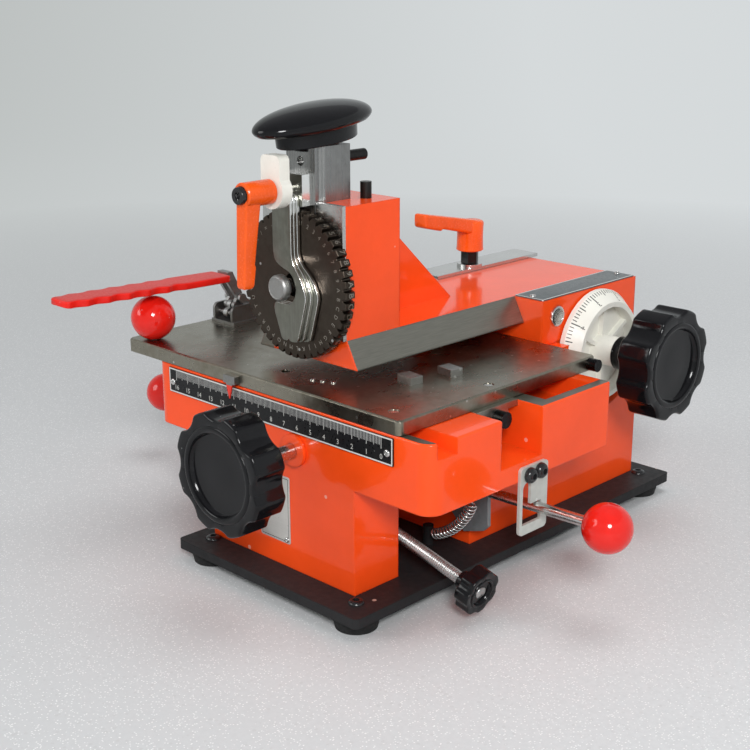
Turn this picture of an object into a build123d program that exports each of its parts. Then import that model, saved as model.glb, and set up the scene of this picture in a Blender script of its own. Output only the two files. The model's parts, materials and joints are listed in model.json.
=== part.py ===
from build123d import *
import os
from math import atan2, cos, pi, radians, sin, sqrt, tan

os.makedirs("parts", exist_ok=True)

# Nameplate marking machine: a palm press with a letter wheel over a sliding table.
# X is the operator's right, Y runs to the back and Z is up.
# The origin is the middle of the base plate, on the plane that the feet stand on.

# Clearances shared by all pieces
running_fit = 0.05
slide_fit = 0.1
free_gap = 0.3
cut_over = 6.0

# Base plate and feet
base_width = 142.0
base_rear_margin = 14.0
base_thickness = 5.5
base_corner_radius = 3.0
foot_diameter = 25.4
foot_tread_diameter = 22.0
foot_height = 7.0
foot_inset = 14.0
foot_bore_diameter = 9.0
foot_bore_depth = 4.0
foot_screw_diameter = 5.0

# Main casting: two legs with an arch between them, a wide body on top and a tower behind
casting_front = -122.2
casting_front_setback = 18.3
leg_left = -60.7
leg_right = 51.6
leg_height = 57.3
front_leg_depth = 32.4
arch_width = 57.6
arch_corner_radius = 4.0
leg_wall = 10.0
leg_roof = 9.0
body_left = -109.2
body_right = 102.6
body_height = 36.4
body_corner_radius = 9.0
body_edge_radius = 1.2

# Cuts in the top of the body
channel_width = 33.0
channel_centre_y = -53.7
channel_floor_thickness = 10.2
notch_front_wall = 5.5
notch_width = 13.5
notch_depth = 8.2
notch_length = 42.0
rear_pocket_rim = 6.0
rear_pocket_end_wall = 9.5
rear_pocket_length = 40.0
rear_pocket_reach = 52.0
rear_pocket_depth = 12.0

# Toothed drives
tooth_module = 1.0
tooth_width_share = 0.40
tooth_tip_share = 0.20
tooth_addendum_share = 0.90
tooth_dedendum_share = 1.20
tooth_flank = 14.0
feed_teeth = 22
arm_teeth = 32
pinion_width = 9.0
shaft_diameter = 8.0
pinion_pocket_gap = 1.5

# Table that carries the nameplate
table_left = -134.3
table_right = 82.9
table_depth = 158.5
table_thickness = 7.6
table_front_overhang = 0.5
table_rear_overhang = 14.5
table_corner_radius = 3.0
table_edge_chamfer = 0.8
table_hole_diameter = 5.2
table_hole_x = -17.7
table_hole_y = -104.2
table_pin_diameter = 3.0
table_pin_xs = (4.4, 9.9, 15.8)
table_pin_front_y = -105.1
table_pin_rear_y = -101.1
table_pin_stand = 0.6
table_pin_sink = 5.0
table_screw_diameter = 5.6
table_screw_places = ((69.9, -112.8), (75.0, -47.6))
table_screw_sink = 0.4
end_screw_head_diameter = 7.0
end_screw_head_length = 6.0
end_screw_shank_diameter = 4.0
end_screw_shank_length = 8.0
end_screw_inset = 6.0

# Slide bar, rack and gibs under the table
slide_flange_thickness = 3.5
slide_overhang = 3.4
rail_height = 6.0
rail_top_width = 17.0
rail_bottom_width = 21.0
rack_width = 9.0
feed_rack_left = -126.0
rack_screw_head_diameter = 8.7
rack_screw_head_length = 6.0
rack_screw_shank_diameter = 5.0
rack_screw_shank_length = 10.0
gib_left = -98.0
gib_right = 74.0
gib_height = 8.0

# Things standing on the table
stop_block_length = 11.0
stop_block_width = 8.0
stop_block_height = 4.0
stop_block_places = ((43.3, -72.7), (48.8, -47.6))
stop_block_turn = 8.0
pointer_left = -44.1
pointer_width = 9.4
pointer_thickness = 3.0
pointer_height = 4.2
pointer_drop = 12.0
pointer_tip_width = 2.4
pointer_tip_thickness = 0.8
ball_diameter = 25.0
table_ball_x = -121.7
table_ball_y = -113.2
table_ball_height = 13.4
ball_stud_diameter = 6.0
ball_bore_depth = 9.0

# Ruler on the front of the body
ruler_left = -95.3
ruler_right = 78.9
ruler_top_margin = 1.6
ruler_height = 14.1
ruler_thickness = 1.0

# Lobed hand knobs
knob_diameter = 63.0
knob_thickness = 17.5
knob_lobes = 8
knob_scallop_radius = 13.0
knob_scallop_depth = 3.2
knob_lobe_round = 4.0
knob_edge_chamfer = 2.2
knob_dish_diameter = 49.0
knob_dish_floor_diameter = 43.0
knob_dish_depth = 3.0
knob_boss_diameter = 20.0
front_knob_x = 8.3
front_knob_rise = 11.2
front_knob_stand = 52.0
front_boss_length = 8.0
bush_diameter = 13.0
bush_length = 14.0
bush_flange_diameter = 18.0
bush_flange_thickness = 2.5
shaft_end_depth = 10.0

# Slide housing on the tower
housing_width = 101.6
table_housing_gap = 3.5
housing_length = 93.8
housing_height = 26.8
housing_rear_overhang = 6.6
rack_groove_gap = 1.0
plug_diameter = 12.0
plug_depth = 6.0
plug_stand = 1.0
plug_setback = 14.0
plug_drop = 10.8
clamp_strip_thickness = 2.2
clamp_strip_width = 20.2
clamp_strip_setback = 1.3
clamp_strip_length = 99.2

# Dovetail arm with its upright
arm_centre_x = -8.0
arm_front = -97.5
arm_table_gap = 8.2
arm_top_width = 60.0
arm_bottom_width = 75.0
arm_height = 14.5
upright_depth = 39.3
upright_height = 69.0
gusset_thickness = 6.0
gusset_length = 72.0
gusset_height = 67.0
cover_plate_thickness = 2.2
cover_plate_top_margin = 0.5
arm_rack_lead = 84.8
arm_rack_length = 92.0
top_screw_diameter = 6.0
top_screw_height = 8.5
top_screw_depth = 12.0
top_screw_x = 9.0
top_screw_y = -70.0

# Dial and knob that move the arm
side_shaft_setback = 50.5
side_shaft_drop = 9.7
dial_back = 44.0
dial_radius = 35.75
dial_rim_thickness = 3.0
dial_cone_radius = 29.5
dial_cone_length = 8.5
dial_recess_radius = 26.5
dial_web_thickness = 3.5
dial_hub_radius = 9.0
dial_hub_length = 22.0
dial_rib_count = 6
dial_rib_thickness = 2.4
dial_rib_height = 7.0
dial_hole_radius = 1.4
dial_hole_place = 20.0
dial_hole_angle = 75.0
dial_recess_gap = 1.5
side_knob_outer = 102.3
side_bush_length = 12.0
set_screw_diameter = 5.0
set_screw_stand = 4.0
set_screw_setback = 5.0
set_screw_turns = (45.0, 135.0)

# Ram with its palm handle
ram_width = 26.0
ram_depth = 20.1
ram_end_gap = 0.7
ram_stand = 28.2
ram_chamfer = 2.5
nose_width = 21.2
nose_depth = 2.4
nose_hole_diameter = 5.0
nose_hole_drop = 8.0
ram_stroke = 9.0
ram_pin_diameter = 6.0
ram_pin_drop = 8.5
ram_pin_reach = 23.0
ram_pin_seat = 9.0
spring_bore_diameter = 12.0
spring_bore_depth = 16.0
spring_seat_depth = 6.0
ram_spring_outer_diameter = 11.0
ram_spring_inner_diameter = 8.6
palm_length = 82.0
palm_width = 44.0
palm_centre_y = -90.5
palm_rim_rise = 11.4
palm_top_rise = 9.6
palm_tilt = 3.5
palm_collar_length = 42.0
palm_collar_width = 30.0
palm_neck_length = 46.0
palm_neck_width = 31.0
palm_neck_rise = 4.5
palm_under_drop = 2.6
palm_under_share = 0.90
palm_dome_shares = ((0.30, 0.97), (0.55, 0.86), (0.76, 0.70), (0.90, 0.50), (1.00, 0.20))

# Letter wheel and its holder
wheel_table_gap = 9.8
wheel_radius = 39.2
wheel_thickness = 6.5
wheel_rim_depth = 7.0
wheel_web_recess = 1.2
wheel_teeth = 44
wheel_tooth_height = 2.0
wheel_tooth_share = 0.62
wheel_tooth_top_share = 0.80
wheel_hub_radius = 14.0
axle_diameter = 8.0
axle_head_diameter = 13.0
axle_head_length = 4.2
axle_head_chamfer = 0.8
holder_plate_thickness = 2.27
holder_plate_count = 3
holder_top_rise = 10.7
holder_top_radius = 9.0
holder_neck_width = 17.0
holder_eye_radius = 12.5
holder_eye_step = 0.9
holder_tip_width = 7.0
holder_tip_drop = 26.1
holder_notch_depth = 2.2
spacer_height = 16.0
spacer_width = 17.0
spacer_wheel_gap = 2.2
nylon_thickness = 6.7
nylon_lobe_rise = 18.0
nylon_lobe_width = 14.0
nylon_lobe_round = 3.0

# Head clamp lever in front of the holder
head_lever_stud_diameter = 6.0
head_lever_hub_diameter = 12.6
head_lever_hub_length = 18.7
head_lever_reach = 47.0
head_lever_root_width = 12.0
head_lever_tip_width = 9.6
head_lever_thickness = 6.4
head_lever_tip_forward = 2.5
lever_screw_head_diameter = 7.0
lever_screw_head_length = 1.6
lever_screw_socket_radius = 2.2

# Slide clamp lever on the housing
slide_lever_side_gap = 7.0
slide_lever_setback = 38.5
slide_washer_diameter = 16.0
slide_washer_thickness = 2.0
slide_hex_width = 10.0
slide_hex_height = 8.0
slide_hub_diameter = 17.0
slide_hub_height = 19.0
slide_hub_foot_share = 0.84
slide_lever_reach = 54.0
slide_lever_rise = 5.0
slide_lever_root_width = 13.0
slide_lever_tip_width = 10.0
slide_lever_thickness = 9.0
slide_tip_share = 0.75
slide_stud_depth = 7.0

# Feed lever through the arch, with its yoke, rocker and guide bracket
lever_rod_diameter = 5.8
lever_rod_y = -42.2
lever_pivot_x = -10.0
lever_pivot_drop = 19.3
lever_tilt = 1.42
lever_right_reach = 158.5
lever_left_reach = 200.9
yoke_gap = 7.4
yoke_cheek = 2.5
yoke_depth = 12.0
yoke_roof = 5.0
yoke_pin_diameter = 6.0
yoke_pin_depth = 7.0
cross_pin_diameter = 5.0
rod_boss_diameter = 13.0
rocker_thickness = 2.6
rocker_eye_radius = 7.0
rocker_reach = 76.5
rocker_top_rise = 5.0
rocker_foot_drop = 24.0
rocker_foot_rise = 4.0
rocker_foot_length = 17.0
rocker_waist_reach = 46.0
rocker_waist_drop = 12.0
rocker_corner_radius = 3.0
bracket_thickness = 1.8
bracket_front = -56.2
bracket_width = 22.5
bracket_bottom = 40.5
bracket_top = 77.5
bracket_corner_radius = 2.5
bracket_slot_front = -54.0
bracket_slot_width = 6.6
bracket_slot_full_width = 15.2
bracket_slot_bottom = 45.9
bracket_step_height = 10.6
bracket_slot_top = 69.0
bracket_screw_places = ((-48.6, 72.8), (-40.1, 73.2))
cap_screw_head_diameter = 7.2
cap_screw_head_length = 5.0
cap_screw_shank_diameter = 4.0
cap_screw_shank_length = 9.0

# Depth adjuster: a threaded rod with a small knob
adjuster_y = -82.2
adjuster_diameter = 7.0
adjuster_inner_x = -2.0
adjuster_knob_x = 97.6
adjuster_knob_height = 18.6
adjuster_slope = 14.0
adjuster_knob_diameter = 25.0
adjuster_knob_thickness = 10.0
adjuster_knob_lobes = 7
adjuster_scallop_radius = 5.0
adjuster_scallop_depth = 1.6
adjuster_lobe_round = 1.6
adjuster_knob_chamfer = 1.2
adjuster_dish_diameter = 15.0
adjuster_dish_depth = 1.6
adjuster_boss_diameter = 10.0
adjuster_boss_length = 6.0
lug_left = 4.0
lug_thickness = 9.0
lug_height = 36.0
lug_width = 14.0

# Return spring of the feed lever
coil_wire_diameter = 1.0
coil_mean_diameter = 5.1
coil_turns = 18
coil_plane_y = -47.2
coil_low_x = 38.0
coil_low_z = 19.2
coil_mid_x = 56.3
coil_mid_z = 30.6
coil_high_x = 65.6
coil_high_z = 45.4
coil_steps = 2
coil_wire_sides = 6
coil_checks = 48
coil_check_step = 3
coil_check_near = 30
coil_check_far = 120
post_diameter = 6.0
post_setback = 3.8
post_rise = 2.0

# Toggle clamp at the left edge of the table
clamp_centre_x = -120.2
clamp_base_front = -63.2
clamp_base_length = 22.0
clamp_base_width = 21.0
clamp_sheet = 1.8
clamp_ear_height = 11.5
clamp_ear_gap = 14.6
clamp_arm_pivot_y = -45.6
clamp_arm_pivot_rise = 7.5
clamp_link_pivot_y = -58.6
clamp_link_pivot_rise = 6.0
clamp_top_pivot_y = -52.6
clamp_top_pivot_rise = 15.0
clamp_mid_pivot_share = 0.5
clamp_link_play = 0.6
clamp_pin_diameter = 3.0
clamp_eye_radius = 3.6
clamp_top_eye_radius = 2.8
clamp_mid_eye_radius = 2.6
clamp_arm_reach = 36.0
clamp_arm_depth = 5.0
clamp_arm_plate = 2.0
clamp_hub_plate = 2.4
clamp_link_plate = 3.0
spindle_diameter = 5.0
spindle_pad_diameter = 9.0
spindle_pad_height = 4.0
spindle_nut_width = 8.0
spindle_nut_height = 3.0
grip_back_y = -62.2
grip_front_y = -177.2
grip_back_height = 143.0
grip_front_height = 146.5
grip_thickness = 6.0
grip_back_width = 15.0
grip_front_width = 20.0
grip_scallops = 6
grip_scallop_radius = 7.0
grip_scallop_depth = 1.6
grip_scallop_start_share = 0.3
grip_tang_width = 8.0

# Places that follow from the sizes
base_top = foot_height + base_thickness
body_bottom = base_top + leg_height
body_top = body_bottom + body_height
arch_front = casting_front + front_leg_depth
arch_back = arch_front + arch_width
channel_floor = body_bottom + channel_floor_thickness
channel_front = channel_centre_y - channel_width / 2
channel_back = channel_centre_y + channel_width / 2
table_bottom = body_top + free_gap
table_top = table_bottom + table_thickness
table_front = casting_front - table_front_overhang
table_back = table_front + table_depth
body_back = table_back - table_rear_overhang
housing_front = table_back + table_housing_gap
housing_back = housing_front + housing_length
tower_back = housing_back - housing_rear_overhang
base_front = casting_front - casting_front_setback
base_back = tower_back + base_rear_margin
base_length = base_back - base_front
base_middle_y = (base_front + base_back) / 2
ruler_bottom = body_top - ruler_top_margin - ruler_height
front_knob_height = body_bottom + front_knob_rise
lever_pivot_height = body_bottom - lever_pivot_drop
table_middle_x = (table_left + table_right) / 2
end_screw_y = table_back - end_screw_inset
end_screw_height = table_bottom + table_thickness / 2
table_middle_y = (table_front + table_back) / 2
feed_pitch_radius = tooth_module * feed_teeth / 2
arm_pitch_radius = tooth_module * arm_teeth / 2
tooth_addendum = tooth_module * tooth_addendum_share
tooth_dedendum = tooth_module * tooth_dedendum_share
tooth_pitch = tooth_module * pi
arm_back = housing_back
arm_bottom = table_top + arm_table_gap
arm_top = arm_bottom + arm_height
tower_top = arm_top - housing_height
upright_top = arm_top + upright_height
upright_back = arm_front + upright_depth
housing_left = arm_centre_x - housing_width / 2
housing_right = arm_centre_x + housing_width / 2
plug_y = housing_front + plug_setback
plug_height = arm_top - plug_drop
clamp_strip_front = housing_front + clamp_strip_setback
slide_lever_x = arm_centre_x - arm_top_width / 2 - slide_lever_side_gap
slide_lever_y = housing_front + slide_lever_setback
side_shaft_y = housing_front + side_shaft_setback
side_shaft_height = tower_top - side_shaft_drop
arm_rack_front = side_shaft_y - arm_rack_lead
ram_bottom = arm_top + ram_stroke + ram_end_gap
ram_top = upright_top + ram_stand
nose_hole_height = ram_top - nose_hole_drop
ram_pin_height = ram_top - ram_pin_drop
palm_rim_height = ram_top + palm_rim_rise
palm_neck_height = ram_top + palm_neck_rise
wheel_axis_height = table_top + wheel_table_gap + wheel_radius
holder_top_height = wheel_axis_height + wheel_radius + holder_top_rise
holder_tip_height = wheel_axis_height - holder_tip_drop
spacer_bottom = wheel_axis_height + wheel_radius + spacer_wheel_gap
nylon_lobe_height = holder_top_height + nylon_lobe_rise
cover_front = arm_front - cover_plate_thickness
wheel_back = cover_front - free_gap
wheel_front = wheel_back - wheel_thickness
holder_back = wheel_front - free_gap
holder_front = holder_back - holder_plate_thickness * holder_plate_count
nylon_front = holder_front - nylon_thickness
ram_front = arm_front + slide_fit
ram_back = ram_front + ram_depth
nose_front = ram_front - nose_depth
dial_front = dial_back + dial_rim_thickness + dial_cone_length
knob_radius = knob_diameter / 2
post_x = coil_low_x - post_setback


def block(low, high, mode=Mode.ADD):
    """Box between two opposite corners."""
    with Locations(tuple((a + b) / 2 for a, b in zip(low, high))):
        return Box(*(b - a for a, b in zip(low, high)), mode=mode)


def rod(start, end, radius, mode=Mode.ADD):
    """Round bar from one point to another."""
    run = Vector(*end) - Vector(*start)
    with Locations(Plane(origin=start, z_dir=run)):
        return Cylinder(
            radius,
            run.length,
            align=(Align.CENTER, Align.CENTER, Align.MIN),
            mode=mode,
        )


def spur_outline(teeth):
    """Toothed wheel outline round the origin, with one tooth on the +Y side."""
    pitch_radius = tooth_module * teeth / 2
    root_radius = pitch_radius - tooth_dedendum
    tip_radius = pitch_radius + tooth_addendum
    half_root = tooth_pitch * tooth_width_share / 2 + tooth_dedendum * tan(radians(tooth_flank))
    half_tip = tooth_pitch * tooth_tip_share / 2
    with BuildSketch() as outline:
        Circle(root_radius)
        with PolarLocations(0, teeth, start_angle=90):
            Polygon(
                (root_radius - tooth_addendum, -half_root),
                (root_radius, -half_root),
                (tip_radius, -half_tip),
                (tip_radius, half_tip),
                (root_radius, half_root),
                (root_radius - tooth_addendum, half_root),
                align=None,
            )
    return outline.sketch


def rack_outline(low, high, tip_level, back_level, gear_place):
    """Side view of a rack from low to high along the first axis, teeth towards tip_level."""
    root_level = tip_level + tooth_addendum + tooth_dedendum
    half_root = tooth_pitch * tooth_width_share / 2 + tooth_dedendum * tan(radians(tooth_flank))
    half_tip = tooth_pitch * tooth_tip_share / 2
    first = int((low - gear_place) / tooth_pitch)
    last = int((high - gear_place) / tooth_pitch)
    places = [gear_place + (count + 0.5) * tooth_pitch for count in range(first - 1, last + 1)]
    places = [place for place in places if low + half_root < place < high - half_root]
    with BuildSketch() as outline:
        with Locations(((low + high) / 2, (root_level + back_level) / 2)):
            Rectangle(high - low, back_level - root_level)
        with Locations(*[(place, 0) for place in places]):
            Polygon(
                (-half_root, root_level + tooth_addendum / 2),
                (-half_root, root_level),
                (-half_tip, tip_level),
                (half_tip, tip_level),
                (half_root, root_level),
                (half_root, root_level + tooth_addendum / 2),
                align=None,
            )
    return outline.sketch


def knob_outline(radius, lobes, scallop_radius, scallop_depth, lobe_round):
    """Lobed outline of a hand knob round the origin."""
    with BuildSketch() as outline:
        Circle(radius)
        with PolarLocations(radius + scallop_radius - scallop_depth, lobes):
            Circle(scallop_radius, mode=Mode.SUBTRACT)
        fillet(outline.vertices(), radius=lobe_round)
    return outline.sketch


# base_plate: flat steel plate with rounded corners
with BuildPart() as base_plate:
    with BuildSketch(Plane.XY.offset(foot_height)):
        with Locations((0, base_middle_y)):
            RectangleRounded(base_width, base_length, base_corner_radius)
            with GridLocations(base_width - 2 * foot_inset, base_length - 2 * foot_inset, 2, 2):
                Circle(foot_screw_diameter / 2, mode=Mode.SUBTRACT)
    extrude(amount=base_thickness)
    # riveted pin that the low end of the lever's spring hangs on
    rod(
        (post_x, coil_plane_y, base_top - base_thickness / 2),
        (post_x, coil_plane_y, coil_low_z + coil_mean_diameter / 2 + post_rise),
        post_diameter / 2,
    )
base_plate.part.label = "base_plate"
export_step(base_plate.part, "parts/base_plate.step")

# rubber_feet: four tapered feet with a sunk hole for their screws
with BuildPart() as rubber_feet:
    with Locations((0, base_middle_y, 0)):
        with GridLocations(base_width - 2 * foot_inset, base_length - 2 * foot_inset, 2, 2):
            Cone(
                foot_tread_diameter / 2,
                foot_diameter / 2,
                foot_height,
                align=(Align.CENTER, Align.CENTER, Align.MIN),
            )
            Cylinder(
                foot_bore_diameter / 2,
                foot_bore_depth,
                align=(Align.CENTER, Align.CENTER, Align.MIN),
                mode=Mode.SUBTRACT,
            )
rubber_feet.part.label = "rubber_feet"
export_step(rubber_feet.part, "parts/rubber_feet.step")

# main_casting: one-piece iron casting, with its ways, bores and the well for the dial
with BuildPart() as main_casting:
    with BuildSketch(Plane.YZ.offset(leg_left)):
        with Locations((casting_front, base_top)):
            Rectangle(tower_back - casting_front, leg_height, align=(Align.MIN, Align.MIN))
        with Locations(((arch_front + arch_back) / 2, body_bottom)):
            RectangleRounded(
                arch_width,
                2 * leg_height,
                arch_corner_radius,
                align=(Align.CENTER, Align.MAX),
                mode=Mode.SUBTRACT,
            )
    extrude(amount=leg_right - leg_left)
    with BuildSketch(Plane.XY.offset(body_bottom)) as body_plan:
        with Locations((body_left, casting_front)):
            Rectangle(body_right - body_left, body_back - casting_front, align=(Align.MIN, Align.MIN))
        fillet(body_plan.vertices().group_by(Axis.Y)[0], radius=body_corner_radius)
    extrude(amount=body_height)
    # rounded top edge at the front, above the ruler
    fillet(
        main_casting.edges().filter_by(Axis.X).group_by(Axis.Z)[-1].group_by(Axis.Y)[0],
        radius=body_edge_radius,
    )
    block((leg_left, body_back - cut_over, body_bottom), (leg_right, tower_back, body_top))
    block((leg_left, housing_front, body_bottom), (leg_right, tower_back, tower_top))
    # hollow legs, open to the base plate
    block(
        (leg_left + leg_wall, casting_front + leg_wall, base_top - cut_over),
        (leg_right - leg_wall, arch_front - leg_wall, body_bottom - leg_roof),
        mode=Mode.SUBTRACT,
    )
    block(
        (leg_left + leg_wall, arch_back + leg_wall, base_top - cut_over),
        (leg_right - leg_wall, tower_back - leg_wall, body_bottom - leg_roof),
        mode=Mode.SUBTRACT,
    )
    # channel for the slide bar, open at both ends
    block(
        (body_left - cut_over, channel_front, channel_floor),
        (body_right + cut_over, channel_back, body_top + cut_over),
        mode=Mode.SUBTRACT,
    )
    # notch behind the front wall, open at the right end
    block(
        (body_right - notch_length, casting_front + notch_front_wall, body_top - notch_depth),
        (
            body_right + cut_over,
            casting_front + notch_front_wall + notch_width,
            body_top + cut_over,
        ),
        mode=Mode.SUBTRACT,
    )
    # pocket behind the right rim
    block(
        (
            body_right - rear_pocket_rim - rear_pocket_reach,
            channel_back + rear_pocket_end_wall,
            body_top - rear_pocket_depth,
        ),
        (
            body_right - rear_pocket_rim,
            channel_back + rear_pocket_end_wall + rear_pocket_length,
            body_top + cut_over,
        ),
        mode=Mode.SUBTRACT,
    )
    # pocket for the feed pinion, open down into the arch
    block(
        (
            front_knob_x - feed_pitch_radius - tooth_addendum - pinion_pocket_gap,
            channel_centre_y - pinion_width / 2 - pinion_pocket_gap,
            body_bottom - cut_over,
        ),
        (
            front_knob_x + feed_pitch_radius + tooth_addendum + pinion_pocket_gap,
            channel_centre_y + pinion_width / 2 + pinion_pocket_gap,
            channel_floor + cut_over,
        ),
        mode=Mode.SUBTRACT,
    )
    # bore and counterbore of the front shaft
    rod(
        (front_knob_x, casting_front - cut_over, front_knob_height),
        (front_knob_x, channel_back + shaft_end_depth, front_knob_height),
        shaft_diameter / 2 + running_fit,
        mode=Mode.SUBTRACT,
    )
    rod(
        (front_knob_x, casting_front - cut_over, front_knob_height),
        (front_knob_x, casting_front + bush_length, front_knob_height),
        bush_diameter / 2,
        mode=Mode.SUBTRACT,
    )
    # well for the dial in the side of the tower
    rod(
        (dial_back - dial_recess_gap, side_shaft_y, side_shaft_height),
        (leg_right + cut_over, side_shaft_y, side_shaft_height),
        dial_radius + dial_recess_gap,
        mode=Mode.SUBTRACT,
    )
    # bore of the side shaft with its bush, and the pocket of the arm pinion
    rod(
        (arm_centre_x - pinion_width - shaft_end_depth, side_shaft_y, side_shaft_height),
        (leg_right + cut_over, side_shaft_y, side_shaft_height),
        shaft_diameter / 2 + running_fit,
        mode=Mode.SUBTRACT,
    )
    rod(
        (dial_back - dial_recess_gap - side_bush_length, side_shaft_y, side_shaft_height),
        (leg_right + cut_over, side_shaft_y, side_shaft_height),
        bush_diameter / 2,
        mode=Mode.SUBTRACT,
    )
    block(
        (
            arm_centre_x - pinion_width / 2 - rack_groove_gap,
            side_shaft_y - arm_pitch_radius - tooth_addendum - pinion_pocket_gap,
            side_shaft_height - arm_pitch_radius - tooth_addendum - pinion_pocket_gap,
        ),
        (
            arm_centre_x + pinion_width / 2 + rack_groove_gap,
            side_shaft_y + arm_pitch_radius + tooth_addendum + pinion_pocket_gap,
            tower_top + cut_over,
        ),
        mode=Mode.SUBTRACT,
    )
    # blind bore for the upright pin of the feed lever's yoke
    rod(
        (lever_pivot_x, lever_rod_y, body_bottom - cut_over),
        (lever_pivot_x, lever_rod_y, body_bottom + yoke_pin_depth + free_gap),
        yoke_pin_diameter / 2 + running_fit,
        mode=Mode.SUBTRACT,
    )
    # tapped bores of the bracket screws in the right face
    for screw_y, screw_z in bracket_screw_places:
        rod(
            (body_right + cut_over, screw_y, screw_z),
            (body_right + bracket_thickness - cap_screw_shank_length, screw_y, screw_z),
            cap_screw_shank_diameter / 2,
            mode=Mode.SUBTRACT,
        )
main_casting.part.label = "main_casting"
export_step(main_casting.part, "parts/main_casting.step")

# slide_housing: dovetail block on the tower, split from it at the joint line
with BuildPart() as slide_housing:
    with BuildSketch(Plane.XZ.offset(-housing_front)):
        with Locations((arm_centre_x, tower_top)):
            Rectangle(housing_width, housing_height, align=(Align.CENTER, Align.MIN))
        with Locations((arm_centre_x, 0)):
            Polygon(
                (-arm_bottom_width / 2 - slide_fit, arm_bottom - slide_fit),
                (arm_bottom_width / 2 + slide_fit, arm_bottom - slide_fit),
                (arm_top_width / 2 + slide_fit, arm_top),
                (arm_top_width / 2 + slide_fit, arm_top + cut_over),
                (-arm_top_width / 2 - slide_fit, arm_top + cut_over),
                (-arm_top_width / 2 - slide_fit, arm_top),
                align=None,
                mode=Mode.SUBTRACT,
            )
        with Locations((arm_centre_x, tower_top - cut_over)):
            Rectangle(
                rack_width + 2 * rack_groove_gap,
                cut_over + arm_bottom - tower_top,
                align=(Align.CENTER, Align.MIN),
                mode=Mode.SUBTRACT,
            )
    extrude(amount=-housing_length)
    rod(
        (housing_right + cut_over, plug_y, plug_height),
        (housing_right - plug_depth, plug_y, plug_height),
        plug_diameter / 2,
        mode=Mode.SUBTRACT,
    )
    rod(
        (slide_lever_x, slide_lever_y, arm_top + cut_over),
        (slide_lever_x, slide_lever_y, arm_top - slide_stud_depth - free_gap),
        head_lever_stud_diameter / 2 + running_fit,
        mode=Mode.SUBTRACT,
    )
slide_housing.part.label = "slide_housing"
export_step(slide_housing.part, "parts/slide_housing.step")

# housing_plug: round steel plug in the right side of the housing
with BuildPart() as housing_plug:
    rod(
        (housing_right - plug_depth, plug_y, plug_height),
        (housing_right + plug_stand, plug_y, plug_height),
        plug_diameter / 2,
    )
    chamfer(
        housing_plug.edges().filter_by(GeomType.CIRCLE).sort_by(Axis.X)[-1],
        length=plug_stand / 2,
    )
housing_plug.part.label = "housing_plug"
export_step(housing_plug.part, "parts/housing_plug.step")

# clamp_strip: steel strip on the left rail of the housing
with BuildPart() as clamp_strip:
    block(
        (housing_left, clamp_strip_front, arm_top),
        (
            housing_left + clamp_strip_width,
            clamp_strip_front + clamp_strip_length,
            arm_top + clamp_strip_thickness,
        ),
    )
    rod(
        (slide_lever_x, slide_lever_y, arm_top - cut_over),
        (slide_lever_x, slide_lever_y, arm_top + cut_over),
        head_lever_stud_diameter / 2 + running_fit,
        mode=Mode.SUBTRACT,
    )
clamp_strip.part.label = "clamp_strip"
export_step(clamp_strip.part, "parts/clamp_strip.step")

# ruler_plate: thin plate screwed to the front of the body
with BuildPart() as ruler_plate:
    block(
        (ruler_left, casting_front - ruler_thickness, ruler_bottom),
        (ruler_right, casting_front, ruler_bottom + ruler_height),
    )
ruler_plate.part.label = "ruler_plate"
export_step(ruler_plate.part, "parts/ruler_plate.step")

# front_shaft_bush: flanged bush pressed into the front of the body
with BuildPart() as front_shaft_bush:
    rod(
        (front_knob_x, casting_front + bush_length, front_knob_height),
        (front_knob_x, casting_front, front_knob_height),
        bush_diameter / 2,
    )
    rod(
        (front_knob_x, casting_front, front_knob_height),
        (front_knob_x, casting_front - bush_flange_thickness, front_knob_height),
        bush_flange_diameter / 2,
    )
    rod(
        (front_knob_x, casting_front + bush_length + cut_over, front_knob_height),
        (front_knob_x, casting_front - bush_flange_thickness - cut_over, front_knob_height),
        shaft_diameter / 2 + running_fit,
        mode=Mode.SUBTRACT,
    )
front_shaft_bush.part.label = "front_shaft_bush"
export_step(front_shaft_bush.part, "parts/front_shaft_bush.step")

# side_shaft_bush: plain bush in the side of the tower
with BuildPart() as side_shaft_bush:
    rod(
        (dial_back - dial_recess_gap - side_bush_length, side_shaft_y, side_shaft_height),
        (dial_back - dial_recess_gap, side_shaft_y, side_shaft_height),
        bush_diameter / 2,
    )
    rod(
        (
            dial_back - dial_recess_gap - side_bush_length - cut_over,
            side_shaft_y,
            side_shaft_height,
        ),
        (dial_back + cut_over, side_shaft_y, side_shaft_height),
        shaft_diameter / 2 + running_fit,
        mode=Mode.SUBTRACT,
    )
side_shaft_bush.part.label = "side_shaft_bush"
export_step(side_shaft_bush.part, "parts/side_shaft_bush.step")

# table_gibs: two steel strips that hold the slide bar's dovetail down in the channel
with BuildPart() as table_gibs:
    with BuildSketch(Plane.YZ.offset(gib_left)):
        with Locations((channel_centre_y, table_bottom - slide_flange_thickness)):
            for side in (-1, 1):
                Polygon(
                    (side * channel_width / 2, -free_gap),
                    (side * (rail_top_width / 2 + slide_fit), -free_gap),
                    (side * (rail_bottom_width / 2 + slide_fit), -rail_height),
                    (side * (rail_bottom_width / 2 + slide_fit), -gib_height),
                    (side * channel_width / 2, -gib_height),
                    align=None,
                )
    extrude(amount=gib_right - gib_left)
table_gibs.part.label = "table_gibs"
export_step(table_gibs.part, "parts/table_gibs.step")

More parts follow.
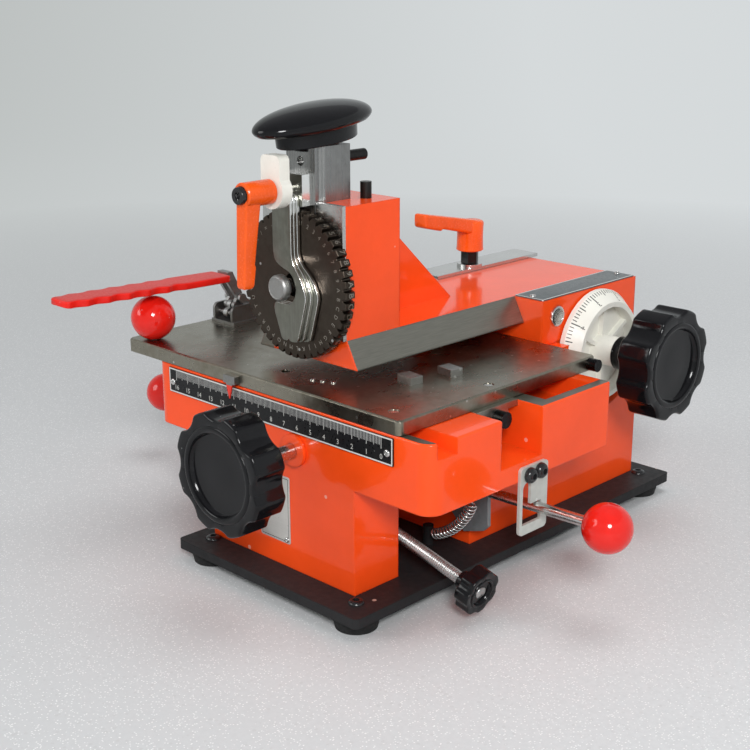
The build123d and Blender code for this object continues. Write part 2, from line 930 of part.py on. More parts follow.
# table_plate: ground steel table with its holes
with BuildPart() as table_plate:
    with BuildSketch(Plane.XY.offset(table_bottom)):
        with Locations((table_middle_x, table_middle_y)):
            RectangleRounded(table_right - table_left, table_depth, table_corner_radius)
        with Locations((table_hole_x, table_hole_y)):
            Circle(table_hole_diameter / 2, mode=Mode.SUBTRACT)
    extrude(amount=table_thickness)
    chamfer(table_plate.edges().group_by(Axis.Z)[-1].filter_by(Axis.X), length=table_edge_chamfer)
    for screw_x, screw_y in table_screw_places:
        rod(
            (screw_x, screw_y, table_bottom - cut_over),
            (screw_x, screw_y, table_top + cut_over),
            table_screw_diameter / 2,
            mode=Mode.SUBTRACT,
        )
    rod(
        (table_right - end_screw_shank_length, end_screw_y, end_screw_height),
        (table_right + cut_over, end_screw_y, end_screw_height),
        end_screw_shank_diameter / 2,
        mode=Mode.SUBTRACT,
    )
    for count, pin_x in enumerate(table_pin_xs):
        pin_y = table_pin_front_y + (table_pin_rear_y - table_pin_front_y) * count / 2
        rod(
            (pin_x, pin_y, table_top - table_pin_sink),
            (pin_x, pin_y, table_top + cut_over),
            table_pin_diameter / 2,
            mode=Mode.SUBTRACT,
        )
table_plate.part.label = "table_plate"
export_step(table_plate.part, "parts/table_plate.step")

# slide_bar: flange under the table with two dovetail rails beside the rack
slide_bar_top = table_bottom
rail_top = slide_bar_top - slide_flange_thickness
rail_bottom = rail_top - rail_height
rack_tip_level = front_knob_height + feed_pitch_radius - tooth_addendum
with BuildPart() as slide_bar:
    with BuildSketch(Plane.YZ.offset(table_left)):
        with Locations((channel_centre_y, slide_bar_top)):
            Rectangle(
                channel_width - 2 * slide_fit,
                slide_flange_thickness,
                align=(Align.CENTER, Align.MAX),
            )
        with Locations((channel_centre_y, 0)):
            for side in (-1, 1):
                Polygon(
                    (side * rack_width / 2, rail_top),
                    (side * rail_top_width / 2, rail_top),
                    (side * rail_bottom_width / 2, rail_bottom),
                    (side * rack_width / 2, rail_bottom),
                    align=None,
                )
    extrude(amount=table_right + slide_overhang - table_left)
slide_bar.part.label = "slide_bar"
export_step(slide_bar.part, "parts/slide_bar.step")

# table_rack: rack bar between the rails, teeth down
rack_right = table_right + slide_overhang
with BuildPart() as table_rack:
    with BuildSketch(Plane.XZ.offset(-(channel_centre_y - rack_width / 2))):
        add(
            rack_outline(
                feed_rack_left,
                rack_right,
                rack_tip_level,
                rail_top,
                front_knob_x,
            )
        )
    extrude(amount=-rack_width)
    rod(
        (rack_right - rack_screw_shank_length, channel_centre_y, (rail_bottom + rail_top) / 2),
        (rack_right + cut_over, channel_centre_y, (rail_bottom + rail_top) / 2),
        rack_screw_shank_diameter / 2,
        mode=Mode.SUBTRACT,
    )
table_rack.part.label = "table_rack"
export_step(table_rack.part, "parts/table_rack.step")

# table_fasteners: flush screws and pins in the table, and cap screws in the ends
with BuildPart() as table_fasteners:
    for screw_x, screw_y in table_screw_places:
        rod(
            (screw_x, screw_y, table_bottom),
            (screw_x, screw_y, table_top - table_screw_sink),
            table_screw_diameter / 2,
        )
    for count, pin_x in enumerate(table_pin_xs):
        pin_y = table_pin_front_y + (table_pin_rear_y - table_pin_front_y) * count / 2
        rod(
            (pin_x, pin_y, table_top - table_pin_sink),
            (pin_x, pin_y, table_top + table_pin_stand),
            table_pin_diameter / 2,
        )
    rod(
        (table_right - end_screw_shank_length, end_screw_y, end_screw_height),
        (table_right, end_screw_y, end_screw_height),
        end_screw_shank_diameter / 2,
    )
    rod(
        (table_right, end_screw_y, end_screw_height),
        (table_right + end_screw_head_length, end_screw_y, end_screw_height),
        end_screw_head_diameter / 2,
    )
    rod(
        (rack_right - rack_screw_shank_length, channel_centre_y, (rail_bottom + rail_top) / 2),
        (rack_right, channel_centre_y, (rail_bottom + rail_top) / 2),
        rack_screw_shank_diameter / 2,
    )
    rod(
        (rack_right, channel_centre_y, (rail_bottom + rail_top) / 2),
        (rack_right + rack_screw_head_length, channel_centre_y, (rail_bottom + rail_top) / 2),
        rack_screw_head_diameter / 2,
    )
table_fasteners.part.label = "table_fasteners"
export_step(table_fasteners.part, "parts/table_fasteners.step")

# stop_blocks: two small steel blocks standing askew on the table
with BuildPart() as stop_blocks:
    for block_x, block_y in stop_block_places:
        with Locations(Plane.XY.offset(table_top)):
            with Locations(Location((block_x, block_y, 0), (0, 0, -stop_block_turn))):
                Box(
                    stop_block_length,
                    stop_block_width,
                    stop_block_height,
                    align=(Align.CENTER, Align.CENTER, Align.MIN),
                )
stop_blocks.part.label = "stop_blocks"
export_step(stop_blocks.part, "parts/stop_blocks.step")

# pointer: block on the table's front edge with a thin tongue over the ruler
pointer_middle = pointer_left + pointer_width / 2
with BuildPart() as pointer:
    block(
        (pointer_left, table_front - pointer_thickness, table_bottom + table_edge_chamfer),
        (
            pointer_left + pointer_width,
            table_front,
            table_bottom + table_edge_chamfer + pointer_height,
        ),
    )
    with BuildSketch(Plane.XZ.offset(-(table_front - pointer_thickness))):
        Polygon(
            (pointer_middle - pointer_tip_width, table_bottom + table_edge_chamfer + pointer_height),
            (pointer_middle + pointer_tip_width, table_bottom + table_edge_chamfer + pointer_height),
            (pointer_middle + pointer_tip_width, table_bottom),
            (pointer_middle, table_bottom + pointer_height - pointer_drop),
            (pointer_middle - pointer_tip_width, table_bottom),
            align=None,
        )
    extrude(amount=-pointer_tip_thickness)
pointer.part.label = "pointer"
export_step(pointer.part, "parts/pointer.step")

# table_ball_knob: red ball with its moulded-in short stud at the front left corner of the table
table_ball_centre = (table_ball_x, table_ball_y, table_top + table_ball_height)
with BuildPart() as table_ball_knob:
    with Locations(table_ball_centre):
        Sphere(ball_diameter / 2)
    rod(
        (table_ball_x, table_ball_y, table_top),
        (table_ball_x, table_ball_y, table_top + ball_bore_depth),
        ball_stud_diameter / 2,
    )
table_ball_knob.part.label = "table_ball_knob"
export_step(table_ball_knob.part, "parts/table_ball_knob.step")

# front_knob: lobed knob with a dished face and a boss, turning the feed shaft
front_knob_face = casting_front - front_knob_stand
with BuildPart() as front_knob:
    with BuildSketch(Plane.XZ.offset(-(front_knob_face + knob_thickness))):
        with Locations((front_knob_x, front_knob_height)):
            add(
                knob_outline(
                    knob_radius,
                    knob_lobes,
                    knob_scallop_radius,
                    knob_scallop_depth,
                    knob_lobe_round,
                )
            )
    extrude(amount=knob_thickness)
    chamfer(front_knob.edges().group_by(Axis.Y)[0], length=knob_edge_chamfer)
    with Locations(Plane(origin=(front_knob_x, front_knob_face, front_knob_height), z_dir=(0, 1, 0))):
        Cone(
            knob_dish_diameter / 2,
            knob_dish_floor_diameter / 2,
            knob_dish_depth,
            align=(Align.CENTER, Align.CENTER, Align.MIN),
            mode=Mode.SUBTRACT,
        )
    rod(
        (front_knob_x, front_knob_face + knob_thickness, front_knob_height),
        (front_knob_x, front_knob_face + knob_thickness + front_boss_length, front_knob_height),
        knob_boss_diameter / 2,
    )
    rod(
        (front_knob_x, front_knob_face + knob_thickness / 2, front_knob_height),
        (front_knob_x, casting_front, front_knob_height),
        shaft_diameter / 2,
        mode=Mode.SUBTRACT,
    )
front_knob.part.label = "front_knob"
export_step(front_knob.part, "parts/front_knob.step")

# front_shaft: bar from the knob through the body to its seat behind the channel
with BuildPart() as front_shaft:
    rod(
        (front_knob_x, front_knob_face + knob_thickness / 2, front_knob_height),
        (front_knob_x, channel_back + shaft_end_depth - free_gap, front_knob_height),
        shaft_diameter / 2,
    )
front_shaft.part.label = "front_shaft"
export_step(front_shaft.part, "parts/front_shaft.step")

# front_pinion: spur pinion under the table rack
with BuildPart() as front_pinion:
    with BuildSketch(Plane.XZ.offset(-(channel_centre_y - pinion_width / 2))):
        with Locations((front_knob_x, front_knob_height)):
            add(spur_outline(feed_teeth))
            Circle(shaft_diameter / 2, mode=Mode.SUBTRACT)
    extrude(amount=-pinion_width)
front_pinion.part.label = "front_pinion"
export_step(front_pinion.part, "parts/front_pinion.step")

# slide_arm: dovetail bar with the upright for the ram and its stiffening rib
ram_slot_half = ram_width / 2 + slide_fit
with BuildPart() as slide_arm:
    with BuildSketch(Plane.XZ.offset(-arm_front)):
        with Locations((arm_centre_x, 0)):
            Polygon(
                (-arm_bottom_width / 2, arm_bottom),
                (arm_bottom_width / 2, arm_bottom),
                (arm_top_width / 2, arm_top),
                (-arm_top_width / 2, arm_top),
                align=None,
            )
    extrude(amount=arm_front - arm_back)
    block(
        (arm_centre_x - arm_top_width / 2, arm_front, arm_top),
        (arm_centre_x + arm_top_width / 2, upright_back, upright_top),
    )
    with BuildSketch(Plane.YZ.offset(arm_centre_x - gusset_thickness / 2)):
        Polygon(
            (upright_back, arm_top),
            (upright_back + gusset_length, arm_top),
            (upright_back, arm_top + gusset_height),
            align=None,
        )
    extrude(amount=gusset_thickness)
    # slot for the ram, open to the front and the top
    block(
        (arm_centre_x - ram_slot_half, arm_front - cut_over, arm_top),
        (arm_centre_x + ram_slot_half, ram_back + slide_fit, upright_top + cut_over),
        mode=Mode.SUBTRACT,
    )
    # seat of the ram's return spring
    rod(
        (arm_centre_x, (ram_front + ram_back) / 2, arm_top + cut_over),
        (arm_centre_x, (ram_front + ram_back) / 2, arm_top - spring_seat_depth),
        spring_bore_diameter / 2,
        mode=Mode.SUBTRACT,
    )
    rod(
        (top_screw_x, top_screw_y, upright_top + cut_over),
        (top_screw_x, top_screw_y, upright_top - top_screw_depth),
        top_screw_diameter / 2,
        mode=Mode.SUBTRACT,
    )
slide_arm.part.label = "slide_arm"
export_step(slide_arm.part, "parts/slide_arm.step")

# arm_rack: rack bar screwed under the arm, teeth down
arm_rack_tip_level = side_shaft_height + arm_pitch_radius - tooth_addendum
with BuildPart() as arm_rack:
    with BuildSketch(Plane.YZ.offset(arm_centre_x - rack_width / 2)):
        add(
            rack_outline(
                arm_rack_front,
                arm_rack_front + arm_rack_length,
                arm_rack_tip_level,
                arm_bottom,
                side_shaft_y,
            )
        )
    extrude(amount=rack_width)
arm_rack.part.label = "arm_rack"
export_step(arm_rack.part, "parts/arm_rack.step")

# ram_cover_plates: steel plates either side of the nose that keep the ram in its slot
with BuildPart() as ram_cover_plates:
    for side in (-1, 1):
        inner = arm_centre_x + side * (nose_width / 2 + free_gap)
        outer = arm_centre_x + side * arm_top_width / 2
        block(
            (min(inner, outer), cover_front, arm_top),
            (max(inner, outer), arm_front, upright_top + cover_plate_top_margin),
        )
ram_cover_plates.part.label = "ram_cover_plates"
export_step(ram_cover_plates.part, "parts/ram_cover_plates.step")

# top_screw: silver stop screw standing on the upright
with BuildPart() as top_screw:
    rod(
        (top_screw_x, top_screw_y, upright_top - top_screw_depth),
        (top_screw_x, top_screw_y, upright_top + top_screw_height),
        top_screw_diameter / 2,
    )
top_screw.part.label = "top_screw"
export_step(top_screw.part, "parts/top_screw.step")

# graduated_dial: cone-rimmed dial with a ribbed recess and a hub
with BuildPart() as graduated_dial:
    with BuildSketch(Plane.XY) as dial_section:
        with Locations((0, 0)):
            Polygon(
                (dial_back, shaft_diameter / 2),
                (dial_back, dial_radius),
                (dial_back + dial_rim_thickness, dial_radius),
                (dial_front, dial_cone_radius),
                (dial_front, dial_recess_radius),
                (dial_back + dial_web_thickness, dial_recess_radius),
                (dial_back + dial_web_thickness, dial_hub_radius),
                (dial_back + dial_hub_length, dial_hub_radius),
                (dial_back + dial_hub_length, shaft_diameter / 2),
                align=None,
            )
    revolve(axis=Axis.X)
    with Locations(Plane(origin=(dial_back, 0, 0), z_dir=(1, 0, 0))):
        with PolarLocations(0, dial_rib_count):
            Box(
                dial_recess_radius + free_gap,
                dial_rib_thickness,
                dial_rib_height,
                align=(Align.MIN, Align.CENTER, Align.MIN),
            )
        Cylinder(
            shaft_diameter / 2,
            dial_hub_length,
            align=(Align.CENTER, Align.CENTER, Align.MIN),
            mode=Mode.SUBTRACT,
        )
        with PolarLocations(dial_hole_place, 1, start_angle=dial_hole_angle):
            Cylinder(
                dial_hole_radius,
                2 * dial_web_thickness,
                align=(Align.CENTER, Align.CENTER, Align.CENTER),
                mode=Mode.SUBTRACT,
            )
graduated_dial.part = graduated_dial.part.moved(Location((0, side_shaft_y, side_shaft_height)))
graduated_dial.part.label = "graduated_dial"
export_step(graduated_dial.part, "parts/graduated_dial.step")

# side_knob: the same lobed knob on the side shaft, with a long boss
side_knob_inner = side_knob_outer - knob_thickness
with BuildPart() as side_knob:
    with BuildSketch(Plane.YZ.offset(side_knob_inner)):
        with Locations((side_shaft_y, side_shaft_height)):
            add(
                knob_outline(
                    knob_radius,
                    knob_lobes,
                    knob_scallop_radius,
                    knob_scallop_depth,
                    knob_lobe_round,
                )
            )
    extrude(amount=knob_thickness)
    chamfer(side_knob.edges().group_by(Axis.X)[-1], length=knob_edge_chamfer)
    with Locations(
        Plane(origin=(side_knob_outer, side_shaft_y, side_shaft_height), z_dir=(-1, 0, 0))
    ):
        Cone(
            knob_dish_diameter / 2,
            knob_dish_floor_diameter / 2,
            knob_dish_depth,
            align=(Align.CENTER, Align.CENTER, Align.MIN),
            mode=Mode.SUBTRACT,
        )
    rod(
        (dial_back + dial_hub_length, side_shaft_y, side_shaft_height),
        (side_knob_inner, side_shaft_y, side_shaft_height),
        knob_boss_diameter / 2,
    )
    rod(
        (dial_back, side_shaft_y, side_shaft_height),
        (side_knob_inner + knob_thickness / 2, side_shaft_y, side_shaft_height),
        shaft_diameter / 2,
        mode=Mode.SUBTRACT,
    )
    for turn in set_screw_turns:
        direction = (0, -cos(radians(turn)), sin(radians(turn)))
        seat_x = dial_back + dial_hub_length + set_screw_setback
        rod(
            (seat_x, side_shaft_y, side_shaft_height),
            (
                seat_x,
                side_shaft_y + direction[1] * knob_boss_diameter,
                side_shaft_height + direction[2] * knob_boss_diameter,
            ),
            set_screw_diameter / 2,
            mode=Mode.SUBTRACT,
        )
side_knob.part.label = "side_knob"
export_step(side_knob.part, "parts/side_knob.step")

# knob_set_screws: two screws in the knob's boss, at right angles, bearing on the shaft
with BuildPart() as knob_set_screws:
    for turn in set_screw_turns:
        direction = (0, -cos(radians(turn)), sin(radians(turn)))
        seat_x = dial_back + dial_hub_length + set_screw_setback
        inner_end = shaft_diameter / 2
        outer_end = knob_boss_diameter / 2 + set_screw_stand
        rod(
            (
                seat_x,
                side_shaft_y + direction[1] * inner_end,
                side_shaft_height + direction[2] * inner_end,
            ),
            (
                seat_x,
                side_shaft_y + direction[1] * outer_end,
                side_shaft_height + direction[2] * outer_end,
            ),
            set_screw_diameter / 2,
        )
    rod(
        (dial_back, side_shaft_y, side_shaft_height),
        (side_knob_inner, side_shaft_y, side_shaft_height),
        shaft_diameter / 2,
        mode=Mode.SUBTRACT,
    )
knob_set_screws.part.label = "knob_set_screws"
export_step(knob_set_screws.part, "parts/knob_set_screws.step")

# side_shaft: bar from the side knob to its seat beyond the pinion
with BuildPart() as side_shaft:
    rod(
        (
            arm_centre_x - pinion_width - shaft_end_depth + free_gap,
            side_shaft_y,
            side_shaft_height,
        ),
        (side_knob_inner + knob_thickness / 2, side_shaft_y, side_shaft_height),
        shaft_diameter / 2,
    )
side_shaft.part.label = "side_shaft"
export_step(side_shaft.part, "parts/side_shaft.step")

# side_pinion: larger spur pinion under the arm rack
with BuildPart() as side_pinion:
    with BuildSketch(Plane.YZ.offset(arm_centre_x - pinion_width / 2)):
        with Locations((side_shaft_y, side_shaft_height)):
            add(spur_outline(arm_teeth))
            Circle(shaft_diameter / 2, mode=Mode.SUBTRACT)
    extrude(amount=pinion_width)
side_pinion.part.label = "side_pinion"
export_step(side_pinion.part, "parts/side_pinion.step")

# ram_block: square ram with chamfered front corners and a spring bore below
ram_centre_y = (ram_front + ram_back) / 2
with BuildPart() as ram_block:
    block(
        (arm_centre_x - ram_width / 2, ram_front, ram_bottom),
        (arm_centre_x + ram_width / 2, ram_back, ram_top),
    )
    chamfer(
        ram_block.edges().filter_by(Axis.Z).group_by(Axis.Y)[0],
        length=ram_chamfer - slide_fit,
    )
    rod(
        (arm_centre_x, ram_centre_y, ram_bottom - cut_over),
        (arm_centre_x, ram_centre_y, ram_bottom + spring_bore_depth),
        spring_bore_diameter / 2,
        mode=Mode.SUBTRACT,
    )
    rod(
        (arm_centre_x, ram_back - ram_pin_seat, ram_pin_height),
        (arm_centre_x, ram_back + cut_over, ram_pin_height),
        ram_pin_diameter / 2,
        mode=Mode.SUBTRACT,
    )
ram_block.part.label = "ram_block"
export_step(ram_block.part, "parts/ram_block.step")

# ram_nose: bar on the ram's front that carries the axle and the holder
with BuildPart() as ram_nose:
    block(
        (arm_centre_x - nose_width / 2, nose_front, ram_bottom),
        (arm_centre_x + nose_width / 2, ram_front, ram_top),
    )
    rod(
        (arm_centre_x, nose_front - cut_over, wheel_axis_height),
        (arm_centre_x, ram_front + cut_over, wheel_axis_height),
        axle_diameter / 2,
        mode=Mode.SUBTRACT,
    )
    rod(
        (arm_centre_x, nose_front - cut_over, nose_hole_height),
        (arm_centre_x, ram_front + cut_over, nose_hole_height),
        nose_hole_diameter / 2,
        mode=Mode.SUBTRACT,
    )
ram_nose.part.label = "ram_nose"
export_step(ram_nose.part, "parts/ram_nose.step")

# ram_return_spring: sleeve of the spring that lifts the ram
with BuildPart() as ram_return_spring:
    with Locations((arm_centre_x, ram_centre_y, arm_top - spring_seat_depth)):
        Cylinder(
            ram_spring_outer_diameter / 2,
            ram_bottom + spring_bore_depth - arm_top + spring_seat_depth,
            align=(Align.CENTER, Align.CENTER, Align.MIN),
        )
        Cylinder(
            ram_spring_inner_diameter / 2,
            ram_bottom + spring_bore_depth - arm_top + spring_seat_depth,
            align=(Align.CENTER, Align.CENTER, Align.MIN),
            mode=Mode.SUBTRACT,
        )
ram_return_spring.part.label = "ram_return_spring"
export_step(ram_return_spring.part, "parts/ram_return_spring.step")

# ram_pin: black pin standing out behind the ram
with BuildPart() as ram_pin:
    rod(
        (arm_centre_x, ram_back - ram_pin_seat, ram_pin_height),
        (arm_centre_x, ram_back + ram_pin_reach, ram_pin_height),
        ram_pin_diameter / 2,
    )
ram_pin.part.label = "ram_pin"
export_step(ram_pin.part, "parts/ram_pin.step")

# palm_handle: broad oval palm rest on a narrower oval neck, tipped up at the back
palm_plane = Plane(
    origin=(arm_centre_x, palm_centre_y, palm_rim_height),
    x_dir=(1, 0, 0),
    z_dir=(0, -sin(radians(palm_tilt)), cos(radians(palm_tilt))),
)
with BuildPart() as palm_handle:
    with BuildSketch(Plane.XY.offset(ram_top)):
        with Locations((arm_centre_x, palm_centre_y)):
            Ellipse(palm_collar_width / 2, palm_collar_length / 2)
    with BuildSketch(Plane.XY.offset(palm_neck_height)):
        with Locations((arm_centre_x, palm_centre_y)):
            Ellipse(palm_neck_width / 2, palm_neck_length / 2)
    loft(ruled=True)
    with BuildSketch(Plane.XY.offset(palm_neck_height)):
        with Locations((arm_centre_x, palm_centre_y)):
            Ellipse(palm_neck_width / 2, palm_neck_length / 2)
    with BuildSketch(palm_plane.offset(-palm_under_drop)):
        Ellipse(palm_width * palm_under_share / 2, palm_length * palm_under_share / 2)
    with BuildSketch(palm_plane):
        Ellipse(palm_width / 2, palm_length / 2)
    loft(ruled=True)
    with BuildSketch(palm_plane):
        Ellipse(palm_width / 2, palm_length / 2)
    for rise_share, width_share in palm_dome_shares:
        with BuildSketch(palm_plane.offset(palm_top_rise * rise_share)):
            Ellipse(palm_width * width_share / 2, palm_length * width_share / 2)
    loft(ruled=True)
palm_handle.part.label = "palm_handle"
export_step(palm_handle.part, "parts/palm_handle.step")

# letter_wheel: toothed wheel with a sunk web and a hub, one raised die at each tooth
with BuildPart() as letter_wheel:
    with BuildSketch(Plane.XZ.offset(-wheel_front)):
        with Locations((arm_centre_x, wheel_axis_height)):
            Circle(wheel_radius - wheel_tooth_height)
            half_tooth = pi * wheel_radius / wheel_teeth * wheel_tooth_share
            with PolarLocations(0, wheel_teeth, start_angle=90):
                Polygon(
                    (wheel_radius - 2 * wheel_tooth_height, -half_tooth),
                    (wheel_radius, -half_tooth * wheel_tooth_top_share),
                    (wheel_radius, half_tooth * wheel_tooth_top_share),
                    (wheel_radius - 2 * wheel_tooth_height, half_tooth),
                    align=None,
                )
            Circle(axle_diameter / 2 + running_fit, mode=Mode.SUBTRACT)
    extrude(amount=-wheel_thickness)
    for sunk_face, inward in ((wheel_front, -1), (wheel_back, 1)):
        with BuildSketch(Plane.XZ.offset(-sunk_face)):
            with Locations((arm_centre_x, wheel_axis_height)):
                Circle(wheel_radius - wheel_rim_depth)
                Circle(wheel_hub_radius, mode=Mode.SUBTRACT)
        extrude(amount=inward * wheel_web_recess, mode=Mode.SUBTRACT)
letter_wheel.part.label = "letter_wheel"
export_step(letter_wheel.part, "parts/letter_wheel.step")

# wheel_holder: three steel plates stacked in front of the wheel, each a little narrower
with BuildPart() as wheel_holder:
    for layer in range(holder_plate_count):
        layer_back = holder_back - layer * holder_plate_thickness
        eye = holder_eye_radius - layer * holder_eye_step
        with BuildSketch(Plane.XZ.offset(-layer_back)):
            with Locations((arm_centre_x, holder_top_height)):
                Circle(holder_top_radius)
            with Locations((arm_centre_x, wheel_axis_height)):
                Rectangle(
                    holder_neck_width,
                    holder_top_height - wheel_axis_height,
                    align=(Align.CENTER, Align.MIN),
                )
                Circle(eye)
            with Locations((arm_centre_x, 0)):
                Polygon(
                    (-eye, wheel_axis_height),
                    (eye, wheel_axis_height),
                    (holder_tip_width / 2, holder_tip_height),
                    (0, holder_tip_height + holder_notch_depth),
                    (-holder_tip_width / 2, holder_tip_height),
                    align=None,
                )
            with Locations((arm_centre_x, wheel_axis_height)):
                Circle(axle_diameter / 2, mode=Mode.SUBTRACT)
            with Locations((arm_centre_x, holder_top_height)):
                Circle(head_lever_stud_diameter / 2 + running_fit, mode=Mode.SUBTRACT)
        extrude(amount=holder_plate_thickness)
wheel_holder.part.label = "wheel_holder"
export_step(wheel_holder.part, "parts/wheel_holder.step")

# holder_spacer: block between the holder and the nose, above the wheel
with BuildPart() as holder_spacer:
    block(
        (arm_centre_x - spacer_width / 2, holder_back, spacer_bottom),
        (arm_centre_x + spacer_width / 2, nose_front, spacer_bottom + spacer_height),
    )
    rod(
        (arm_centre_x, holder_back - cut_over, holder_top_height),
        (arm_centre_x, nose_front + cut_over, holder_top_height),
        head_lever_stud_diameter / 2 + running_fit,
        mode=Mode.SUBTRACT,
    )
holder_spacer.part.label = "holder_spacer"
export_step(holder_spacer.part, "parts/holder_spacer.step")

# axle_pin: headed pin through the holder and the wheel into the nose
with BuildPart() as axle_pin:
    rod(
        (arm_centre_x, holder_front - axle_head_length, wheel_axis_height),
        (arm_centre_x, holder_front, wheel_axis_height),
        axle_head_diameter / 2,
    )
    chamfer(
        axle_pin.edges().filter_by(GeomType.CIRCLE).sort_by(Axis.Y)[0],
        length=axle_head_chamfer,
    )
    rod(
        (arm_centre_x, holder_front, wheel_axis_height),
        (arm_centre_x, ram_front, wheel_axis_height),
        axle_diameter / 2,
    )
axle_pin.part.label = "axle_pin"
export_step(axle_pin.part, "parts/axle_pin.step")

# nylon_spacer: white piece behind the lever's hub, round with a lobe standing up
with BuildPart() as nylon_spacer:
    with BuildSketch(Plane.XZ.offset(-holder_front)):
        with Locations((arm_centre_x, holder_top_height)):
            Circle(holder_top_radius)
            Rectangle(
                nylon_lobe_width,
                nylon_lobe_height - holder_top_height,
                align=(Align.CENTER, Align.MIN),
            )
            Circle(head_lever_stud_diameter / 2 + running_fit, mode=Mode.SUBTRACT)
    extrude(amount=nylon_thickness)
    fillet(
        nylon_spacer.edges().filter_by(Axis.Y).group_by(Axis.Z)[-1],
        radius=nylon_lobe_round,
    )
nylon_spacer.part.label = "nylon_spacer"
export_step(nylon_spacer.part, "parts/nylon_spacer.step")

# head_clamp_lever: moulded lever with a round hub and a hanging arm
head_lever_back = nylon_front - free_gap
head_lever_front = head_lever_back - head_lever_hub_length
with BuildPart() as head_clamp_lever:
    rod(
        (arm_centre_x, head_lever_back, holder_top_height),
        (arm_centre_x, head_lever_front, holder_top_height),
        head_lever_hub_diameter / 2,
    )
    with BuildSketch(
        Plane(
            origin=(arm_centre_x, head_lever_front + head_lever_thickness / 2, holder_top_height),
            x_dir=(1, 0, 0),
            z_dir=(0, 0, -1),
        )
    ):
        Rectangle(head_lever_root_width, head_lever_thickness)
    with BuildSketch(
        Plane(
            origin=(
                arm_centre_x,
                head_lever_front + head_lever_thickness / 2 - head_lever_tip_forward,
                holder_top_height - head_lever_reach,
            ),
            x_dir=(1, 0, 0),
            z_dir=(0, 0, -1),
        )
    ):
        Rectangle(head_lever_tip_width, head_lever_thickness)
    loft(ruled=True)
    rod(
        (arm_centre_x, head_lever_back + cut_over, holder_top_height),
        (arm_centre_x, head_lever_front + lever_screw_head_length, holder_top_height),
        head_lever_stud_diameter / 2,
        mode=Mode.SUBTRACT,
    )
    rod(
        (arm_centre_x, head_lever_front - cut_over, holder_top_height),
        (arm_centre_x, head_lever_front + lever_screw_head_length, holder_top_height),
        lever_screw_head_diameter / 2,
        mode=Mode.SUBTRACT,
    )
head_clamp_lever.part.label = "head_clamp_lever"
export_step(head_clamp_lever.part, "parts/head_clamp_lever.step")

# head_lever_stud: stud with a socket head through the lever, spacer and holder
with BuildPart() as head_lever_stud:
    rod(
        (arm_centre_x, head_lever_front - lever_screw_head_length, holder_top_height),
        (arm_centre_x, head_lever_front + lever_screw_head_length, holder_top_height),
        lever_screw_head_diameter / 2,
    )
    rod(
        (arm_centre_x, head_lever_front + lever_screw_head_length, holder_top_height),
        (arm_centre_x, nose_front - free_gap, holder_top_height),
        head_lever_stud_diameter / 2,
    )
    with BuildSketch(
        Plane(
            origin=(arm_centre_x, head_lever_front - lever_screw_head_length, holder_top_height),
            z_dir=(0, 1, 0),
        )
    ):
        RegularPolygon(lever_screw_socket_radius, 6)
    extrude(amount=lever_screw_head_length, mode=Mode.SUBTRACT)
head_lever_stud.part.label = "head_lever_stud"
export_step(head_lever_stud.part, "parts/head_lever_stud.step")

# Stack that the slide clamp lever tightens on the strip
strip_top = arm_top + clamp_strip_thickness
washer_top = strip_top + slide_washer_thickness + free_gap
hex_top = washer_top + slide_hex_height
with BuildPart() as slide_lever_washer:
    rod(
        (slide_lever_x, slide_lever_y, strip_top),
        (slide_lever_x, slide_lever_y, strip_top + slide_washer_thickness),
        slide_washer_diameter / 2,
    )
    rod(
        (slide_lever_x, slide_lever_y, strip_top - cut_over),
        (slide_lever_x, slide_lever_y, strip_top + cut_over),
        head_lever_stud_diameter / 2 + running_fit,
        mode=Mode.SUBTRACT,
    )
slide_lever_washer.part.label = "slide_lever_washer"
export_step(slide_lever_washer.part, "parts/slide_lever_washer.step")

with BuildPart() as slide_lever_stud:
    rod(
        (slide_lever_x, slide_lever_y, arm_top - slide_stud_depth),
        (slide_lever_x, slide_lever_y, hex_top + slide_hub_height / 2),
        head_lever_stud_diameter / 2,
    )
    with BuildSketch(Plane.XY.offset(washer_top)):
        with Locations((slide_lever_x, slide_lever_y)):
            RegularPolygon(slide_hex_width / 2, 6, major_radius=False)
    extrude(amount=slide_hex_height)
slide_lever_stud.part.label = "slide_lever_stud"
export_step(slide_lever_stud.part, "parts/slide_lever_stud.step")

# slide_clamp_lever: moulded lever with a round hub and an arm rising to the front
hub_top = hex_top + slide_hub_height
with BuildPart() as slide_clamp_lever:
    with BuildSketch(Plane.XY.offset(hex_top)):
        with Locations((slide_lever_x, slide_lever_y)):
            Circle(slide_hub_diameter * slide_hub_foot_share / 2)
    with BuildSketch(Plane.XY.offset(hub_top)):
        with Locations((slide_lever_x, slide_lever_y)):
            Circle(slide_hub_diameter / 2)
    loft(ruled=True)
    with BuildSketch(
        Plane(
            origin=(slide_lever_x, slide_lever_y, hub_top - slide_lever_thickness / 2),
            x_dir=(1, 0, 0),
            z_dir=(0, -1, 0),
        )
    ):
        Rectangle(slide_lever_root_width, slide_lever_thickness)
    with BuildSketch(
        Plane(
            origin=(
                slide_lever_x,
                slide_lever_y - slide_lever_reach,
                hub_top - slide_lever_thickness / 2 + slide_lever_rise,
            ),
            x_dir=(1, 0, 0),
            z_dir=(0, -1, 0),
        )
    ):
        Rectangle(slide_lever_tip_width, slide_lever_thickness * slide_tip_share)
    loft(ruled=True)
    rod(
        (slide_lever_x, slide_lever_y, hex_top - cut_over),
        (slide_lever_x, slide_lever_y, hex_top + slide_hub_height / 2),
        head_lever_stud_diameter / 2,
        mode=Mode.SUBTRACT,
    )
slide_clamp_lever.part.label = "slide_clamp_lever"
export_step(slide_clamp_lever.part, "parts/slide_clamp_lever.step")

